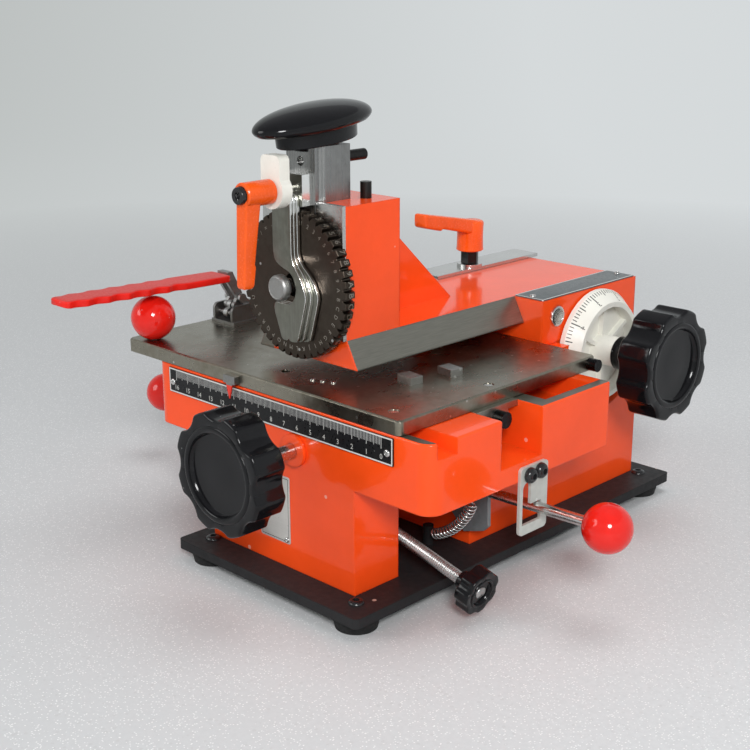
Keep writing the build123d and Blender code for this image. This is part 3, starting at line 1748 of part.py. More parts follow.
# feed_yoke: fork hung from an upright pin under the body, for the feed lever
yoke_top = body_bottom - free_gap
yoke_bottom = lever_pivot_height - rod_boss_diameter / 2
with BuildPart() as feed_yoke:
    with BuildSketch(Plane.XZ.offset(-(lever_rod_y - yoke_gap / 2 - yoke_cheek))):
        with Locations((lever_pivot_x, yoke_top)):
            Rectangle(yoke_depth, yoke_top - lever_pivot_height, align=(Align.CENTER, Align.MAX))
        with Locations((lever_pivot_x, lever_pivot_height)):
            Circle(yoke_depth / 2)
    extrude(amount=-(yoke_gap + 2 * yoke_cheek))
    block(
        (
            lever_pivot_x - yoke_depth,
            lever_rod_y - yoke_gap / 2,
            yoke_bottom - cut_over,
        ),
        (
            lever_pivot_x + yoke_depth,
            lever_rod_y + yoke_gap / 2,
            yoke_top - yoke_roof,
        ),
        mode=Mode.SUBTRACT,
    )
    rod(
        (lever_pivot_x, lever_rod_y, yoke_top - yoke_roof / 2),
        (lever_pivot_x, lever_rod_y, body_bottom + yoke_pin_depth),
        yoke_pin_diameter / 2,
    )
    rod(
        (lever_pivot_x, lever_rod_y - yoke_gap, lever_pivot_height),
        (lever_pivot_x, lever_rod_y + yoke_gap, lever_pivot_height),
        cross_pin_diameter / 2 + running_fit,
        mode=Mode.SUBTRACT,
    )
feed_yoke.part.label = "feed_yoke"
export_step(feed_yoke.part, "parts/feed_yoke.step")

# feed_lever_rod: long bar through the arch with a boss and cross pin, right end raised
tilt_cos = cos(radians(lever_tilt))
tilt_sin = sin(radians(lever_tilt))


def lever_point(reach, side=0.0, rise=0.0):
    """Point at a reach along the tilted lever, measured from its pivot."""
    return (
        lever_pivot_x + reach * tilt_cos - rise * tilt_sin,
        lever_rod_y + side,
        lever_pivot_height + reach * tilt_sin + rise * tilt_cos,
    )


rod_ball_sink = ball_diameter / 2 - ball_bore_depth
with BuildPart() as feed_lever_rod:
    rod(
        lever_point(-lever_left_reach + rod_ball_sink),
        lever_point(lever_right_reach - rod_ball_sink),
        lever_rod_diameter / 2,
    )
    rod(
        (lever_pivot_x, lever_rod_y - yoke_gap / 2 + free_gap, lever_pivot_height),
        (lever_pivot_x, lever_rod_y + yoke_gap / 2 - free_gap, lever_pivot_height),
        rod_boss_diameter / 2,
    )
    # cross pin pressed through the boss, out to the yoke and the rocker
    rod(
        (lever_pivot_x, lever_rod_y - yoke_gap / 2 - yoke_cheek, lever_pivot_height),
        (
            lever_pivot_x,
            lever_rod_y + yoke_gap / 2 + yoke_cheek + free_gap + rocker_thickness,
            lever_pivot_height,
        ),
        cross_pin_diameter / 2,
    )
feed_lever_rod.part.label = "feed_lever_rod"
export_step(feed_lever_rod.part, "parts/feed_lever_rod.step")

# feed_lever_balls: red balls on both ends of the bar
with BuildPart() as feed_lever_balls:
    for reach, inward in ((lever_right_reach, -1), (-lever_left_reach, 1)):
        with Locations(lever_point(reach)):
            Sphere(ball_diameter / 2)
        rod(
            lever_point(reach + inward * rod_ball_sink),
            lever_point(reach + inward * ball_diameter),
            lever_rod_diameter / 2,
            mode=Mode.SUBTRACT,
        )
feed_lever_balls.part.label = "feed_lever_balls"
export_step(feed_lever_balls.part, "parts/feed_lever_balls.step")

# rocker_plate: plate behind the yoke, hung on the cross pin, with a foot at its right end
rocker_front = lever_rod_y + yoke_gap / 2 + yoke_cheek + free_gap
with BuildPart() as rocker_plate:
    with BuildSketch(
        Plane(
            origin=(lever_pivot_x, rocker_front, lever_pivot_height),
            x_dir=(tilt_cos, 0, tilt_sin),
            z_dir=(0, -1, 0),
        )
    ) as rocker_face:
        Circle(rocker_eye_radius)
        Polygon(
            (0, rocker_eye_radius),
            (rocker_reach - rocker_corner_radius, rocker_top_rise),
            (rocker_reach, rocker_top_rise - rocker_corner_radius),
            (rocker_reach, -rocker_foot_drop),
            (rocker_reach - rocker_corner_radius, -rocker_foot_drop - rocker_corner_radius),
            (
                rocker_reach - rocker_foot_length,
                -rocker_foot_drop - rocker_corner_radius - rocker_foot_rise,
            ),
            (rocker_waist_reach, -rocker_waist_drop - rocker_foot_rise),
            (0, -rocker_eye_radius),
            align=None,
        )
        Circle(cross_pin_diameter / 2, mode=Mode.SUBTRACT)
    extrude(amount=-rocker_thickness)
rocker_plate.part.label = "rocker_plate"
export_step(rocker_plate.part, "parts/rocker_plate.step")

# lever_guide_bracket: slotted plate on the right face that guides the lever
with BuildPart() as lever_guide_bracket:
    with BuildSketch(Plane.YZ.offset(body_right)):
        with Locations((bracket_front + bracket_width / 2, (bracket_bottom + bracket_top) / 2)):
            RectangleRounded(bracket_width, bracket_top - bracket_bottom, bracket_corner_radius)
        with Locations((bracket_slot_front, bracket_slot_bottom)):
            Rectangle(
                bracket_slot_full_width,
                bracket_step_height,
                align=(Align.MIN, Align.MIN),
                mode=Mode.SUBTRACT,
            )
            Rectangle(
                bracket_slot_width,
                bracket_slot_top - bracket_slot_bottom - bracket_slot_width / 2,
                align=(Align.MIN, Align.MIN),
                mode=Mode.SUBTRACT,
            )
        with Locations(
            (
                bracket_slot_front + bracket_slot_width / 2,
                bracket_slot_top - bracket_slot_width / 2,
            )
        ):
            Circle(bracket_slot_width / 2, mode=Mode.SUBTRACT)
        with Locations(*bracket_screw_places):
            Circle(cap_screw_shank_diameter / 2, mode=Mode.SUBTRACT)
    extrude(amount=bracket_thickness)
lever_guide_bracket.part.label = "lever_guide_bracket"
export_step(lever_guide_bracket.part, "parts/lever_guide_bracket.step")

# bracket_screws: two black cap screws
with BuildPart() as bracket_screws:
    for screw_y, screw_z in bracket_screw_places:
        rod(
            (body_right + bracket_thickness - cap_screw_shank_length, screw_y, screw_z),
            (body_right + bracket_thickness, screw_y, screw_z),
            cap_screw_shank_diameter / 2,
        )
        rod(
            (body_right + bracket_thickness, screw_y, screw_z),
            (body_right + bracket_thickness + cap_screw_head_length, screw_y, screw_z),
            cap_screw_head_diameter / 2,
        )
bracket_screws.part.label = "bracket_screws"
export_step(bracket_screws.part, "parts/bracket_screws.step")

# Adjuster: threaded rod sloping down to the right, with a small lobed knob
slope_cos = cos(radians(adjuster_slope))
slope_sin = sin(radians(adjuster_slope))
slope_direction = (slope_cos, 0, -slope_sin)


def adjuster_point(reach):
    """Point on the adjuster's axis, reached along it from the back of its knob."""
    return (
        adjuster_knob_x + reach * slope_cos,
        adjuster_y,
        adjuster_knob_height - reach * slope_sin,
    )


adjuster_inner_reach = (adjuster_inner_x - adjuster_knob_x) / slope_cos
with BuildPart() as adjuster_rod:
    rod(
        adjuster_point(adjuster_inner_reach),
        adjuster_point(adjuster_knob_thickness / 2),
        adjuster_diameter / 2,
    )
adjuster_rod.part.label = "adjuster_rod"
export_step(adjuster_rod.part, "parts/adjuster_rod.step")

with BuildPart() as adjuster_knob:
    with BuildSketch(Plane(origin=adjuster_point(0), x_dir=(0, 1, 0), z_dir=slope_direction)):
        add(
            knob_outline(
                adjuster_knob_diameter / 2,
                adjuster_knob_lobes,
                adjuster_scallop_radius,
                adjuster_scallop_depth,
                adjuster_lobe_round,
            )
        )
    extrude(amount=adjuster_knob_thickness)
    chamfer(
        adjuster_knob.edges().group_by(Axis(adjuster_point(0), slope_direction))[-1],
        length=adjuster_knob_chamfer,
    )
    rod(
        adjuster_point(adjuster_knob_thickness - adjuster_dish_depth),
        adjuster_point(adjuster_knob_thickness + cut_over),
        adjuster_dish_diameter / 2,
        mode=Mode.SUBTRACT,
    )
    rod(
        adjuster_point(0),
        adjuster_point(-adjuster_boss_length),
        adjuster_boss_diameter / 2,
    )
    rod(
        adjuster_point(-adjuster_boss_length - cut_over),
        adjuster_point(adjuster_knob_thickness / 2),
        adjuster_diameter / 2,
        mode=Mode.SUBTRACT,
    )
adjuster_knob.part.label = "adjuster_knob"
export_step(adjuster_knob.part, "parts/adjuster_knob.step")

# adjuster_lug: block on the base plate in the arch, tapped for the adjuster
with BuildPart() as adjuster_lug:
    block(
        (lug_left, adjuster_y - lug_width / 2, base_top),
        (lug_left + lug_thickness, adjuster_y + lug_width / 2, base_top + lug_height),
    )
    rod(
        adjuster_point(adjuster_inner_reach - cut_over),
        adjuster_point(0),
        adjuster_diameter / 2 + running_fit,
        mode=Mode.SUBTRACT,
    )
adjuster_lug.part.label = "adjuster_lug"
export_step(adjuster_lug.part, "parts/adjuster_lug.step")

# extension_spring: slack coil bent along an arc, one wire swept through biarcs
low = Vector(coil_low_x, 0, coil_low_z)
mid = Vector(coil_mid_x, 0, coil_mid_z)
high = Vector(coil_high_x, 0, coil_high_z)
# centre of the circle through the three points of the coil's axis
first_chord = mid - low
second_chord = high - mid
cross_share = (
    (second_chord.X * (high - low).X + second_chord.Z * (high - low).Z)
    / (first_chord.X * second_chord.Z - first_chord.Z * second_chord.X)
    / 2
)
bend_centre = Vector(
    (low.X + mid.X) / 2 - cross_share * first_chord.Z,
    0,
    (low.Z + mid.Z) / 2 + cross_share * first_chord.X,
)
bend_radius = (low - bend_centre).length
bend_start = atan2(low.Z - bend_centre.Z, low.X - bend_centre.X)
bend_end = atan2(high.Z - bend_centre.Z, high.X - bend_centre.X)
coil_radius = coil_mean_diameter / 2


def coil_state(turn):
    """Point and direction of the wire at a number of turns along the bent axis."""
    bend_rate = (bend_end - bend_start) / coil_turns
    bend = bend_start + bend_rate * turn
    phase = 2 * pi * turn
    outward = bend_radius + coil_radius * cos(phase)
    point = Vector(
        bend_centre.X + outward * cos(bend),
        coil_plane_y + coil_radius * sin(phase),
        bend_centre.Z + outward * sin(bend),
    )
    outward_rate = -coil_radius * sin(phase) * 2 * pi
    direction = Vector(
        outward_rate * cos(bend) - outward * sin(bend) * bend_rate,
        coil_radius * cos(phase) * 2 * pi,
        outward_rate * sin(bend) + outward * cos(bend) * bend_rate,
    )
    return point, direction.normalized()


def biarc_joint(start, start_way, end, end_way):
    """Meeting point of two arcs that leave one point and reach another along given ways."""
    chord = end - start
    ways = start_way + end_way
    spread = 2 * (1 - start_way.dot(end_way))
    reach = (-chord.dot(ways) + sqrt(chord.dot(ways) ** 2 + spread * chord.dot(chord))) / spread
    return (start + end + (start_way - end_way) * reach) / 2


coil_points = [coil_state(step / coil_steps) for step in range(coil_turns * coil_steps + 1)]
wire_start, wire_start_way = coil_points[0]
wire_end, wire_end_way = coil_points[-1]
tail_start = wire_start - wire_start_way * coil_wire_diameter
with BuildPart() as extension_spring:
    with BuildLine() as coil_path:
        Line(tail_start, wire_start)
        for (start, start_way), (end, end_way) in zip(coil_points, coil_points[1:]):
            joint = biarc_joint(start, start_way, end, end_way)
            TangentArc(start, joint, tangent=start_way)
            TangentArc(joint, end, tangent=coil_path.edges()[-1] % 1)
        Line(wire_end, wire_end + wire_end_way * coil_wire_diameter)
    with BuildSketch(Plane(origin=tail_start, z_dir=wire_start_way)):
        RegularPolygon(coil_wire_diameter / 2, coil_wire_sides)
    sweep()
extension_spring.part.label = "extension_spring"
export_step(extension_spring.part, "parts/extension_spring.step")
coil_samples = [
    coil_state(step / coil_checks)[0] for step in range(coil_turns * coil_checks + 1)
]
coil_gap = min(
    (coil_samples[first] - coil_samples[second]).length - coil_wire_diameter
    for first in range(0, len(coil_samples), coil_check_step)
    for second in range(first + coil_check_near, min(first + coil_check_far, len(coil_samples)))
)
print("least gap of the spring to itself", round(coil_gap, 2))

# Toggle clamp: folded base, bar, link and handle in layers either side of its middle
clamp_back = clamp_base_front + clamp_base_length
bar_pivot = (clamp_arm_pivot_y, table_top + clamp_arm_pivot_rise)
link_pivot = (clamp_link_pivot_y, table_top + clamp_link_pivot_rise)
top_pivot = (clamp_top_pivot_y, table_top + clamp_top_pivot_rise)
mid_pivot = tuple(
    low_end + (high_end - low_end) * clamp_mid_pivot_share
    for low_end, high_end in zip(link_pivot, top_pivot)
)
ear_inner = clamp_ear_gap / 2
bar_outer = ear_inner - free_gap
hub_outer = bar_outer - clamp_arm_plate - free_gap
grip_run = Vector(0, grip_front_y - grip_back_y, grip_front_height - grip_back_height)
link_half = clamp_link_plate / 2


def clamp_pin(place, half_width, radius, mode=Mode.ADD):
    """Round pin across the clamp at a place in its side view."""
    return rod(
        (clamp_centre_x - half_width, *place),
        (clamp_centre_x + half_width, *place),
        radius,
        mode=mode,
    )


# clamp_base: folded sheet base with two ears and the pins across them
with BuildPart() as clamp_base:
    block(
        (clamp_centre_x - clamp_base_width / 2, clamp_base_front, table_top),
        (clamp_centre_x + clamp_base_width / 2, clamp_back, table_top + clamp_sheet),
    )
    for side in (-1, 1):
        inner = clamp_centre_x + side * ear_inner
        outer = clamp_centre_x + side * (ear_inner + clamp_sheet)
        with BuildSketch(Plane.YZ.offset(min(inner, outer))) as ear_face:
            with Locations((clamp_base_front, table_top)):
                Rectangle(clamp_base_length, clamp_ear_height, align=(Align.MIN, Align.MIN))
            fillet(ear_face.vertices().group_by(Axis.Z)[-1], radius=clamp_eye_radius)
        extrude(amount=clamp_sheet)
    # riveted pins of the bar and the link
    for place in (bar_pivot, link_pivot):
        clamp_pin(place, ear_inner + clamp_sheet, clamp_pin_diameter / 2)
clamp_base.part.label = "clamp_base"
export_step(clamp_base.part, "parts/clamp_base.step")

# clamp_bar: channel-shaped hold-down bar
bar_end = clamp_arm_pivot_y + clamp_arm_reach
bar_web_start = clamp_arm_pivot_y + 2 * clamp_eye_radius
with BuildPart() as clamp_bar:
    for side in (-1, 1):
        inner = clamp_centre_x + side * (bar_outer - clamp_arm_plate)
        outer = clamp_centre_x + side * bar_outer
        with BuildSketch(Plane.YZ.offset(min(inner, outer))):
            with Locations(bar_pivot):
                Circle(clamp_eye_radius)
            with Locations(top_pivot):
                Circle(clamp_top_eye_radius)
            Polygon(
                (bar_pivot[0] - clamp_eye_radius, bar_pivot[1]),
                (bar_pivot[0] + clamp_eye_radius, bar_pivot[1]),
                (top_pivot[0] + clamp_top_eye_radius, top_pivot[1]),
                (top_pivot[0] - clamp_top_eye_radius, top_pivot[1]),
                align=None,
            )
            with Locations(bar_pivot):
                Rectangle(clamp_arm_reach, clamp_arm_depth, align=(Align.MIN, Align.CENTER))
        extrude(amount=clamp_arm_plate)
    block(
        (
            clamp_centre_x - bar_outer,
            bar_web_start,
            bar_pivot[1] + clamp_arm_depth / 2 - clamp_arm_plate,
        ),
        (clamp_centre_x + bar_outer, bar_end, bar_pivot[1] + clamp_arm_depth / 2),
    )
    clamp_pin(
        bar_pivot,
        clamp_base_width,
        clamp_pin_diameter / 2 + running_fit,
        mode=Mode.SUBTRACT,
    )
    # two short rivets that the handle's hub plates turn on, clear of the link between them
    for side in (-1, 1):
        rod(
            (clamp_centre_x + side * (hub_outer - clamp_hub_plate), *top_pivot),
            (clamp_centre_x + side * bar_outer, *top_pivot),
            clamp_pin_diameter / 2,
        )
    rod(
        (clamp_centre_x, bar_end - spindle_pad_diameter / 2, table_top),
        (clamp_centre_x, bar_end - spindle_pad_diameter / 2, bar_pivot[1] + cut_over),
        spindle_diameter / 2,
        mode=Mode.SUBTRACT,
    )
clamp_bar.part.label = "clamp_bar"
export_step(clamp_bar.part, "parts/clamp_bar.step")

# clamp_spindle: threaded spindle with its nut and foot at the end of the bar
spindle_y = bar_end - spindle_pad_diameter / 2
with BuildPart() as clamp_spindle:
    rod(
        (clamp_centre_x, spindle_y, table_top + free_gap + spindle_pad_height),
        (
            clamp_centre_x,
            spindle_y,
            bar_pivot[1] + clamp_arm_depth / 2 + 2 * spindle_nut_height,
        ),
        spindle_diameter / 2,
    )
    with BuildSketch(Plane.XY.offset(bar_pivot[1] + clamp_arm_depth / 2)):
        with Locations((clamp_centre_x, spindle_y)):
            RegularPolygon(spindle_nut_width / 2, 6, major_radius=False)
    extrude(amount=spindle_nut_height)
    rod(
        (clamp_centre_x, spindle_y, table_top + free_gap),
        (clamp_centre_x, spindle_y, table_top + free_gap + spindle_pad_height),
        spindle_pad_diameter / 2,
    )
clamp_spindle.part.label = "clamp_spindle"
export_step(clamp_spindle.part, "parts/clamp_spindle.step")

# clamp_link: short link between the base and the handle's hub
with BuildPart() as clamp_link:
    with BuildSketch(Plane.YZ.offset(clamp_centre_x - link_half)):
        with Locations(link_pivot, mid_pivot):
            Circle(clamp_pin_diameter)
        with Locations(link_pivot):
            Circle(clamp_pin_diameter / 2 + running_fit, mode=Mode.SUBTRACT)
        with Locations(mid_pivot):
            Circle(clamp_pin_diameter / 2 + clamp_link_play, mode=Mode.SUBTRACT)
    extrude(amount=clamp_link_plate)
clamp_link.part.label = "clamp_link"
export_step(clamp_link.part, "parts/clamp_link.step")

# clamp_handle: two hub plates joined by a tang that runs into the grip
with BuildPart() as clamp_handle:
    for side in (-1, 1):
        inner = clamp_centre_x + side * (hub_outer - clamp_hub_plate)
        outer = clamp_centre_x + side * hub_outer
        with BuildSketch(Plane.YZ.offset(min(inner, outer))):
            with Locations(top_pivot):
                Circle(clamp_top_eye_radius)
            with Locations(mid_pivot):
                Circle(clamp_mid_eye_radius)
            Polygon(
                (top_pivot[0] + clamp_top_eye_radius, top_pivot[1]),
                (grip_back_y + grip_tang_width / 2, grip_back_height + grip_thickness / 2),
                (grip_back_y, grip_back_height + grip_thickness / 2),
                (grip_back_y, grip_back_height - grip_thickness / 2),
                (top_pivot[0] - clamp_top_eye_radius, top_pivot[1]),
                (mid_pivot[0] - clamp_mid_eye_radius, mid_pivot[1]),
                (mid_pivot[0] + clamp_mid_eye_radius, mid_pivot[1]),
                align=None,
            )
        extrude(amount=clamp_hub_plate)
    with BuildSketch(Plane.YZ.offset(clamp_centre_x - hub_outer)):
        Polygon(
            (grip_back_y + grip_tang_width / 2, grip_back_height + grip_thickness / 2),
            (grip_back_y, grip_back_height + grip_thickness / 2),
            (grip_back_y, grip_back_height - grip_thickness / 2),
            (grip_back_y + grip_tang_width / 2, grip_back_height - grip_thickness / 2),
            align=None,
        )
    extrude(amount=2 * hub_outer)
    clamp_pin(
        top_pivot,
        clamp_base_width,
        clamp_pin_diameter / 2 + running_fit,
        mode=Mode.SUBTRACT,
    )
    # square end face against the sloping grip
    split(
        bisect_by=Plane(
            origin=(clamp_centre_x, grip_back_y, grip_back_height),
            z_dir=(0, -grip_run.Y, -grip_run.Z),
        )
    )
clamp_handle.part.label = "clamp_handle"
export_step(clamp_handle.part, "parts/clamp_handle.step")

# clamp_grip: flat dipped grip with finger hollows along both edges
with BuildPart() as clamp_grip:
    with BuildSketch(
        Plane(
            origin=(clamp_centre_x, grip_back_y, grip_back_height),
            x_dir=(1, 0, 0),
            z_dir=grip_run,
        )
    ):
        Rectangle(grip_back_width, grip_thickness)
    with BuildSketch(
        Plane(
            origin=(clamp_centre_x, grip_front_y, grip_front_height),
            x_dir=(1, 0, 0),
            z_dir=grip_run,
        )
    ):
        Rectangle(grip_front_width, grip_thickness)
    loft(ruled=True)
    # finger hollows along both edges
    for count in range(grip_scallops):
        share = grip_scallop_start_share + (1 - grip_scallop_start_share) * (count + 0.5) / grip_scallops
        middle = Vector(clamp_centre_x, grip_back_y, grip_back_height) + grip_run * share
        edge = (grip_back_width + (grip_front_width - grip_back_width) * share) / 2
        for side in (-1, 1):
            hollow_x = middle.X + side * (edge + grip_scallop_radius - grip_scallop_depth)
            rod(
                (hollow_x, middle.Y, middle.Z - grip_thickness),
                (hollow_x, middle.Y, middle.Z + grip_thickness),
                grip_scallop_radius,
                mode=Mode.SUBTRACT,
            )
clamp_grip.part.label = "clamp_grip"
export_step(clamp_grip.part, "parts/clamp_grip.step")
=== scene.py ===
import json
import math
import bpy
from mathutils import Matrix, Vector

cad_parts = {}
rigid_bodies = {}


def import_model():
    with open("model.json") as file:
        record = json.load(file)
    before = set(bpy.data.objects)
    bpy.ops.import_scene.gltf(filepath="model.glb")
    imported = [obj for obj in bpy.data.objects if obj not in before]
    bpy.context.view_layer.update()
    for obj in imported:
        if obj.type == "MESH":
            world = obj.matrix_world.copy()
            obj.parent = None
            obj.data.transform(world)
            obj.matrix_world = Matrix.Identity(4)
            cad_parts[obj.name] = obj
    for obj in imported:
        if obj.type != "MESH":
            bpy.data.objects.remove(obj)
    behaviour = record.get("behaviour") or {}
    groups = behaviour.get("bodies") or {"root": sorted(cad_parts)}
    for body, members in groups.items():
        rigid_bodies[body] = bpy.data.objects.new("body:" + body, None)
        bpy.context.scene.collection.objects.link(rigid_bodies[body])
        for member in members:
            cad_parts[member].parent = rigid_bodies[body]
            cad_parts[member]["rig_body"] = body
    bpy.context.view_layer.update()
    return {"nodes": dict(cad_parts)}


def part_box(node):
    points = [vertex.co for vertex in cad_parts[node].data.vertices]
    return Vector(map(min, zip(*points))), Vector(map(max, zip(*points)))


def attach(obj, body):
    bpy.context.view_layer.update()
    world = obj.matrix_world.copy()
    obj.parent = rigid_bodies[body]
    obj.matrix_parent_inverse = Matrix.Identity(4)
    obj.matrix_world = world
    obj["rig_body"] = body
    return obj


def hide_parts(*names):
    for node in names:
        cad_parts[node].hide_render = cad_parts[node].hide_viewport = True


bl_info = {
    "name": "Nameplate marking machine",
    "version": (1, 0, 0),
    "blender": (4, 5, 0),
    "location": "3D View > Sidebar > Machine",
    "description": "Finishes, fittings and stage of a nameplate marking machine",
    "category": "Object",
}

import bmesh
import bpy
import numpy as np
from mathutils import Matrix, Vector

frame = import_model()
MM = 0.001
TURN = 2 * math.pi

# Places on the machine in millimetres, in the frame's own axes
ARM_X = -8.0
FRONT_Y = -122.2
TABLE_TOP = 114.1
BASE_TOP = 12.5
HOUSING_TOP = 136.8
LEVER_TILT = math.radians(1.42)
LEVER_MIDDLE = (-10.0, -42.2, 50.5)
ADJUSTER_SLOPE = math.radians(14.0)
ADJUSTER_END = np.array((97.6, -82.2, 18.6))
ADJUSTER_WAY = np.array((math.cos(ADJUSTER_SLOPE), 0, -math.sin(ADJUSTER_SLOPE)))
BRACKET_SCREWS = ((-48.6, 72.8), (-40.1, 73.2))
WHEEL_AXIS = (-8.0, 163.1)
WHEEL_RADIUS = 39.2
TEETH = 44
DIAL_BACK, DIAL_RIM, DIAL_FRONT = 44.0, 3.0, 55.5
DIAL_RADIUS, DIAL_CONE_RADIUS = 35.75, 29.5

# Local X, Y and Z of shapes that face up, to the front and to the right
UPWARD = ((1, 0, 0), (0, 1, 0), (0, 0, 1))
FORWARD = ((1, 0, 0), (0, 0, 1), (0, -1, 0))
SIDEWAYS = ((0, 1, 0), (0, 0, 1), (1, 0, 0))


# Meshes from grids of points

def set_down(points, origin, axes=UPWARD):
    """Local points times three axes, plus an origin."""
    return points @ np.array(axes, float) + np.array(origin, float)


def grid_mesh(name, points, origin=(0, 0, 0), axes=UPWARD, ends=True, sharp=38.0):
    """Mesh over a grid of local points in millimetres, one ring to a row, set down on the machine.

    Quads join each row to the next, and ends closes the first and last rings with one face
    each. Points that fall together become a pole, the faces are turned outwards, and edges
    below the sharp angle are smooth.
    """
    rows, ring = points.shape[:2]
    index = np.arange(rows * ring).reshape(rows, ring)
    after = np.roll(index, -1, axis=1)
    faces = np.stack((index[:-1], after[:-1], after[1:], index[1:]), axis=-1).reshape(-1, 4).tolist()
    if ends:
        faces += [index[0][::-1].tolist(), index[-1].tolist()]
    mesh = bpy.data.meshes.new(name)
    mesh.from_pydata((set_down(points, origin, axes).reshape(-1, 3) * MM).tolist(), [], faces)
    work = bmesh.new()
    work.from_mesh(mesh)
    bmesh.ops.remove_doubles(work, verts=work.verts, dist=1e-6)
    bmesh.ops.dissolve_degenerate(work, edges=work.edges, dist=1e-7)
    bmesh.ops.recalc_face_normals(work, faces=work.faces)
    work.to_mesh(mesh)
    work.free()
    mesh.shade_smooth()
    mesh.set_sharp_from_angle(angle=math.radians(sharp))
    return mesh


def joined(name, meshes):
    """One mesh from several."""
    work = bmesh.new()
    for mesh in meshes:
        work.from_mesh(mesh)
        bpy.data.meshes.remove(mesh)
    whole = bpy.data.meshes.new(name)
    work.to_mesh(whole)
    work.free()
    whole.shade_smooth()
    return whole


def piece(name, mesh, material, slot, node, replaces=True):
    """Object that shows a mesh or several as one, rides a node's body, and stands for the node or is added to it."""
    mesh = joined(name, mesh) if isinstance(mesh, list) else mesh
    shown = bpy.data.objects.new(name, mesh)
    bpy.context.scene.collection.objects.link(shown)
    mesh.materials.clear()
    mesh.materials.append(bpy.data.materials[material])
    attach(shown, frame["nodes"][node]["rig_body"])
    if replaces:
        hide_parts(node)


def node_box(node):
    """Lowest and highest corner of a node in millimetres."""
    low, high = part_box(node)
    return np.array(low) / MM, np.array(high) / MM


def around(count):
    """Angles all the way round, the first one zero."""
    return np.linspace(0, 2 * np.pi, count, endpoint=False)


def quarter(count):
    """Angles from zero to a right angle."""
    return np.linspace(0, np.pi / 2, count)


def ovals(sizes, count):
    """Rings of ellipses, one to each row of half width, half length, height and shift.

    A ring's point at angle t is (width cos t, length sin t + shift, height).
    """
    width, length, height, shift = np.array(sizes, float).T[:, :, None]
    angle = around(count)
    flat = (width * np.cos(angle), length * np.sin(angle) + shift)
    return np.stack((*flat, np.broadcast_to(height, flat[0].shape)), axis=-1)


def turned(profile, count=64):
    """Rings of a turned shape: each (radius, height) pair swept round the local Z axis."""
    return ovals([(radius, radius, height, 0.0) for radius, height in profile], count)


def rounded(radius, height, corner):
    """Profile of a disc with both outer corners rounded, from its low pole to its high one."""
    rise, fall = corner * np.sin(quarter(5)), corner * np.cos(quarter(5))
    low = np.stack((radius - corner + rise, corner - fall), -1)
    high = np.stack((radius - corner + fall, height - corner + rise), -1)
    return np.concatenate((((0.0, 0.0),), low, high, ((0.0, height),)))


def softened(outline, inset):
    """Closed outline moved inwards along its own normals by an inset."""
    after, before = np.roll(outline, -1, axis=0), np.roll(outline, 1, axis=0)
    along = after - before
    normal = np.stack((-along[:, 1], along[:, 0]), -1)
    normal /= np.linalg.norm(normal, axis=1, keepdims=True) + 1e-12
    area = np.sum(outline[:, 0] * after[:, 1] - after[:, 0] * outline[:, 1])
    return outline + normal * inset * (1 if area > 0 else -1)


def slab(outline, low, high, corner):
    """Rings of a flat piece: its outline at each height, drawn in by a quarter circle at both faces."""
    bend = quarter(4)
    insets = np.concatenate((corner * (1 - np.sin(bend)), corner * (1 - np.cos(bend))))
    heights = np.concatenate((low + corner * (1 - np.cos(bend)), high - corner + corner * np.sin(bend)))
    return np.array([
        np.concatenate((softened(outline, inset), np.full((len(outline), 1), height)), axis=1)
        for inset, height in zip(insets, heights)
    ])


def box_outline(width, length, corner):
    """Rectangle round the origin with rounded corners."""
    arc = np.stack((np.cos(quarter(6)), np.sin(quarter(6))), -1) * corner
    half = np.array((width / 2 - corner, length / 2 - corner))
    return np.concatenate([
        arc @ np.array(((math.cos(a), math.sin(a)), (-math.sin(a), math.cos(a)))) + half * side
        for a, side in ((0, (1, 1)), (np.pi / 2, (-1, 1)), (np.pi, (-1, -1)), (1.5 * np.pi, (1, -1)))
    ])


def cornered(points):
    """Closed outline with its corners cut twice: each side keeps its middle half."""
    for _ in range(2):
        after = np.roll(points, -1, axis=0)
        points = np.stack((0.75 * points + 0.25 * after, 0.25 * points + 0.75 * after), axis=1).reshape(-1, 2)
    return points


def drawn_in(head, tail, count, tail_count, least):
    """Shares along a bar, and how far its section is drawn in at each of them.

    With e rising from 0 to 1 over the head and falling again over the tail, the section's
    size is least + (1 - least) sqrt(1 - (1 - e)^2), and nothing at the two end points.
    """
    share = np.concatenate((np.linspace(0, head, 4)[:-1], np.linspace(head, 1 - tail, count),
                            np.linspace(1 - tail, 1.0, tail_count)[1:]))
    ends = np.minimum(share / head, (1 - share) / tail).clip(0, 1)
    drawn = np.sqrt(np.maximum(1 - (1 - ends) ** 2, 0.0)) * (1 - least) + least
    drawn[[0, -1]] = 0.0
    return share, drawn


def section_path(centres, widths, heights, upward, power, count):
    """Rings along a path: a superellipse of a width along X and a height at each centre.

    A ring's point at angle t is the centre plus half the width times |cos t|^(2/power) along X
    and half the height times |sin t|^(2/power) along the upward direction, signs kept.
    """
    cosine, sine = np.cos(around(count)), np.sin(around(count))
    side = np.sign(cosine) * np.abs(cosine) ** (2 / power)
    rise = np.sign(sine) * np.abs(sine) ** (2 / power)
    return (
        centres[:, None]
        + widths[:, None, None] / 2 * side[None, :, None] * np.array((1.0, 0, 0))
        + heights[:, None, None] / 2 * rise[None, :, None] * np.array(upward, float)
    )


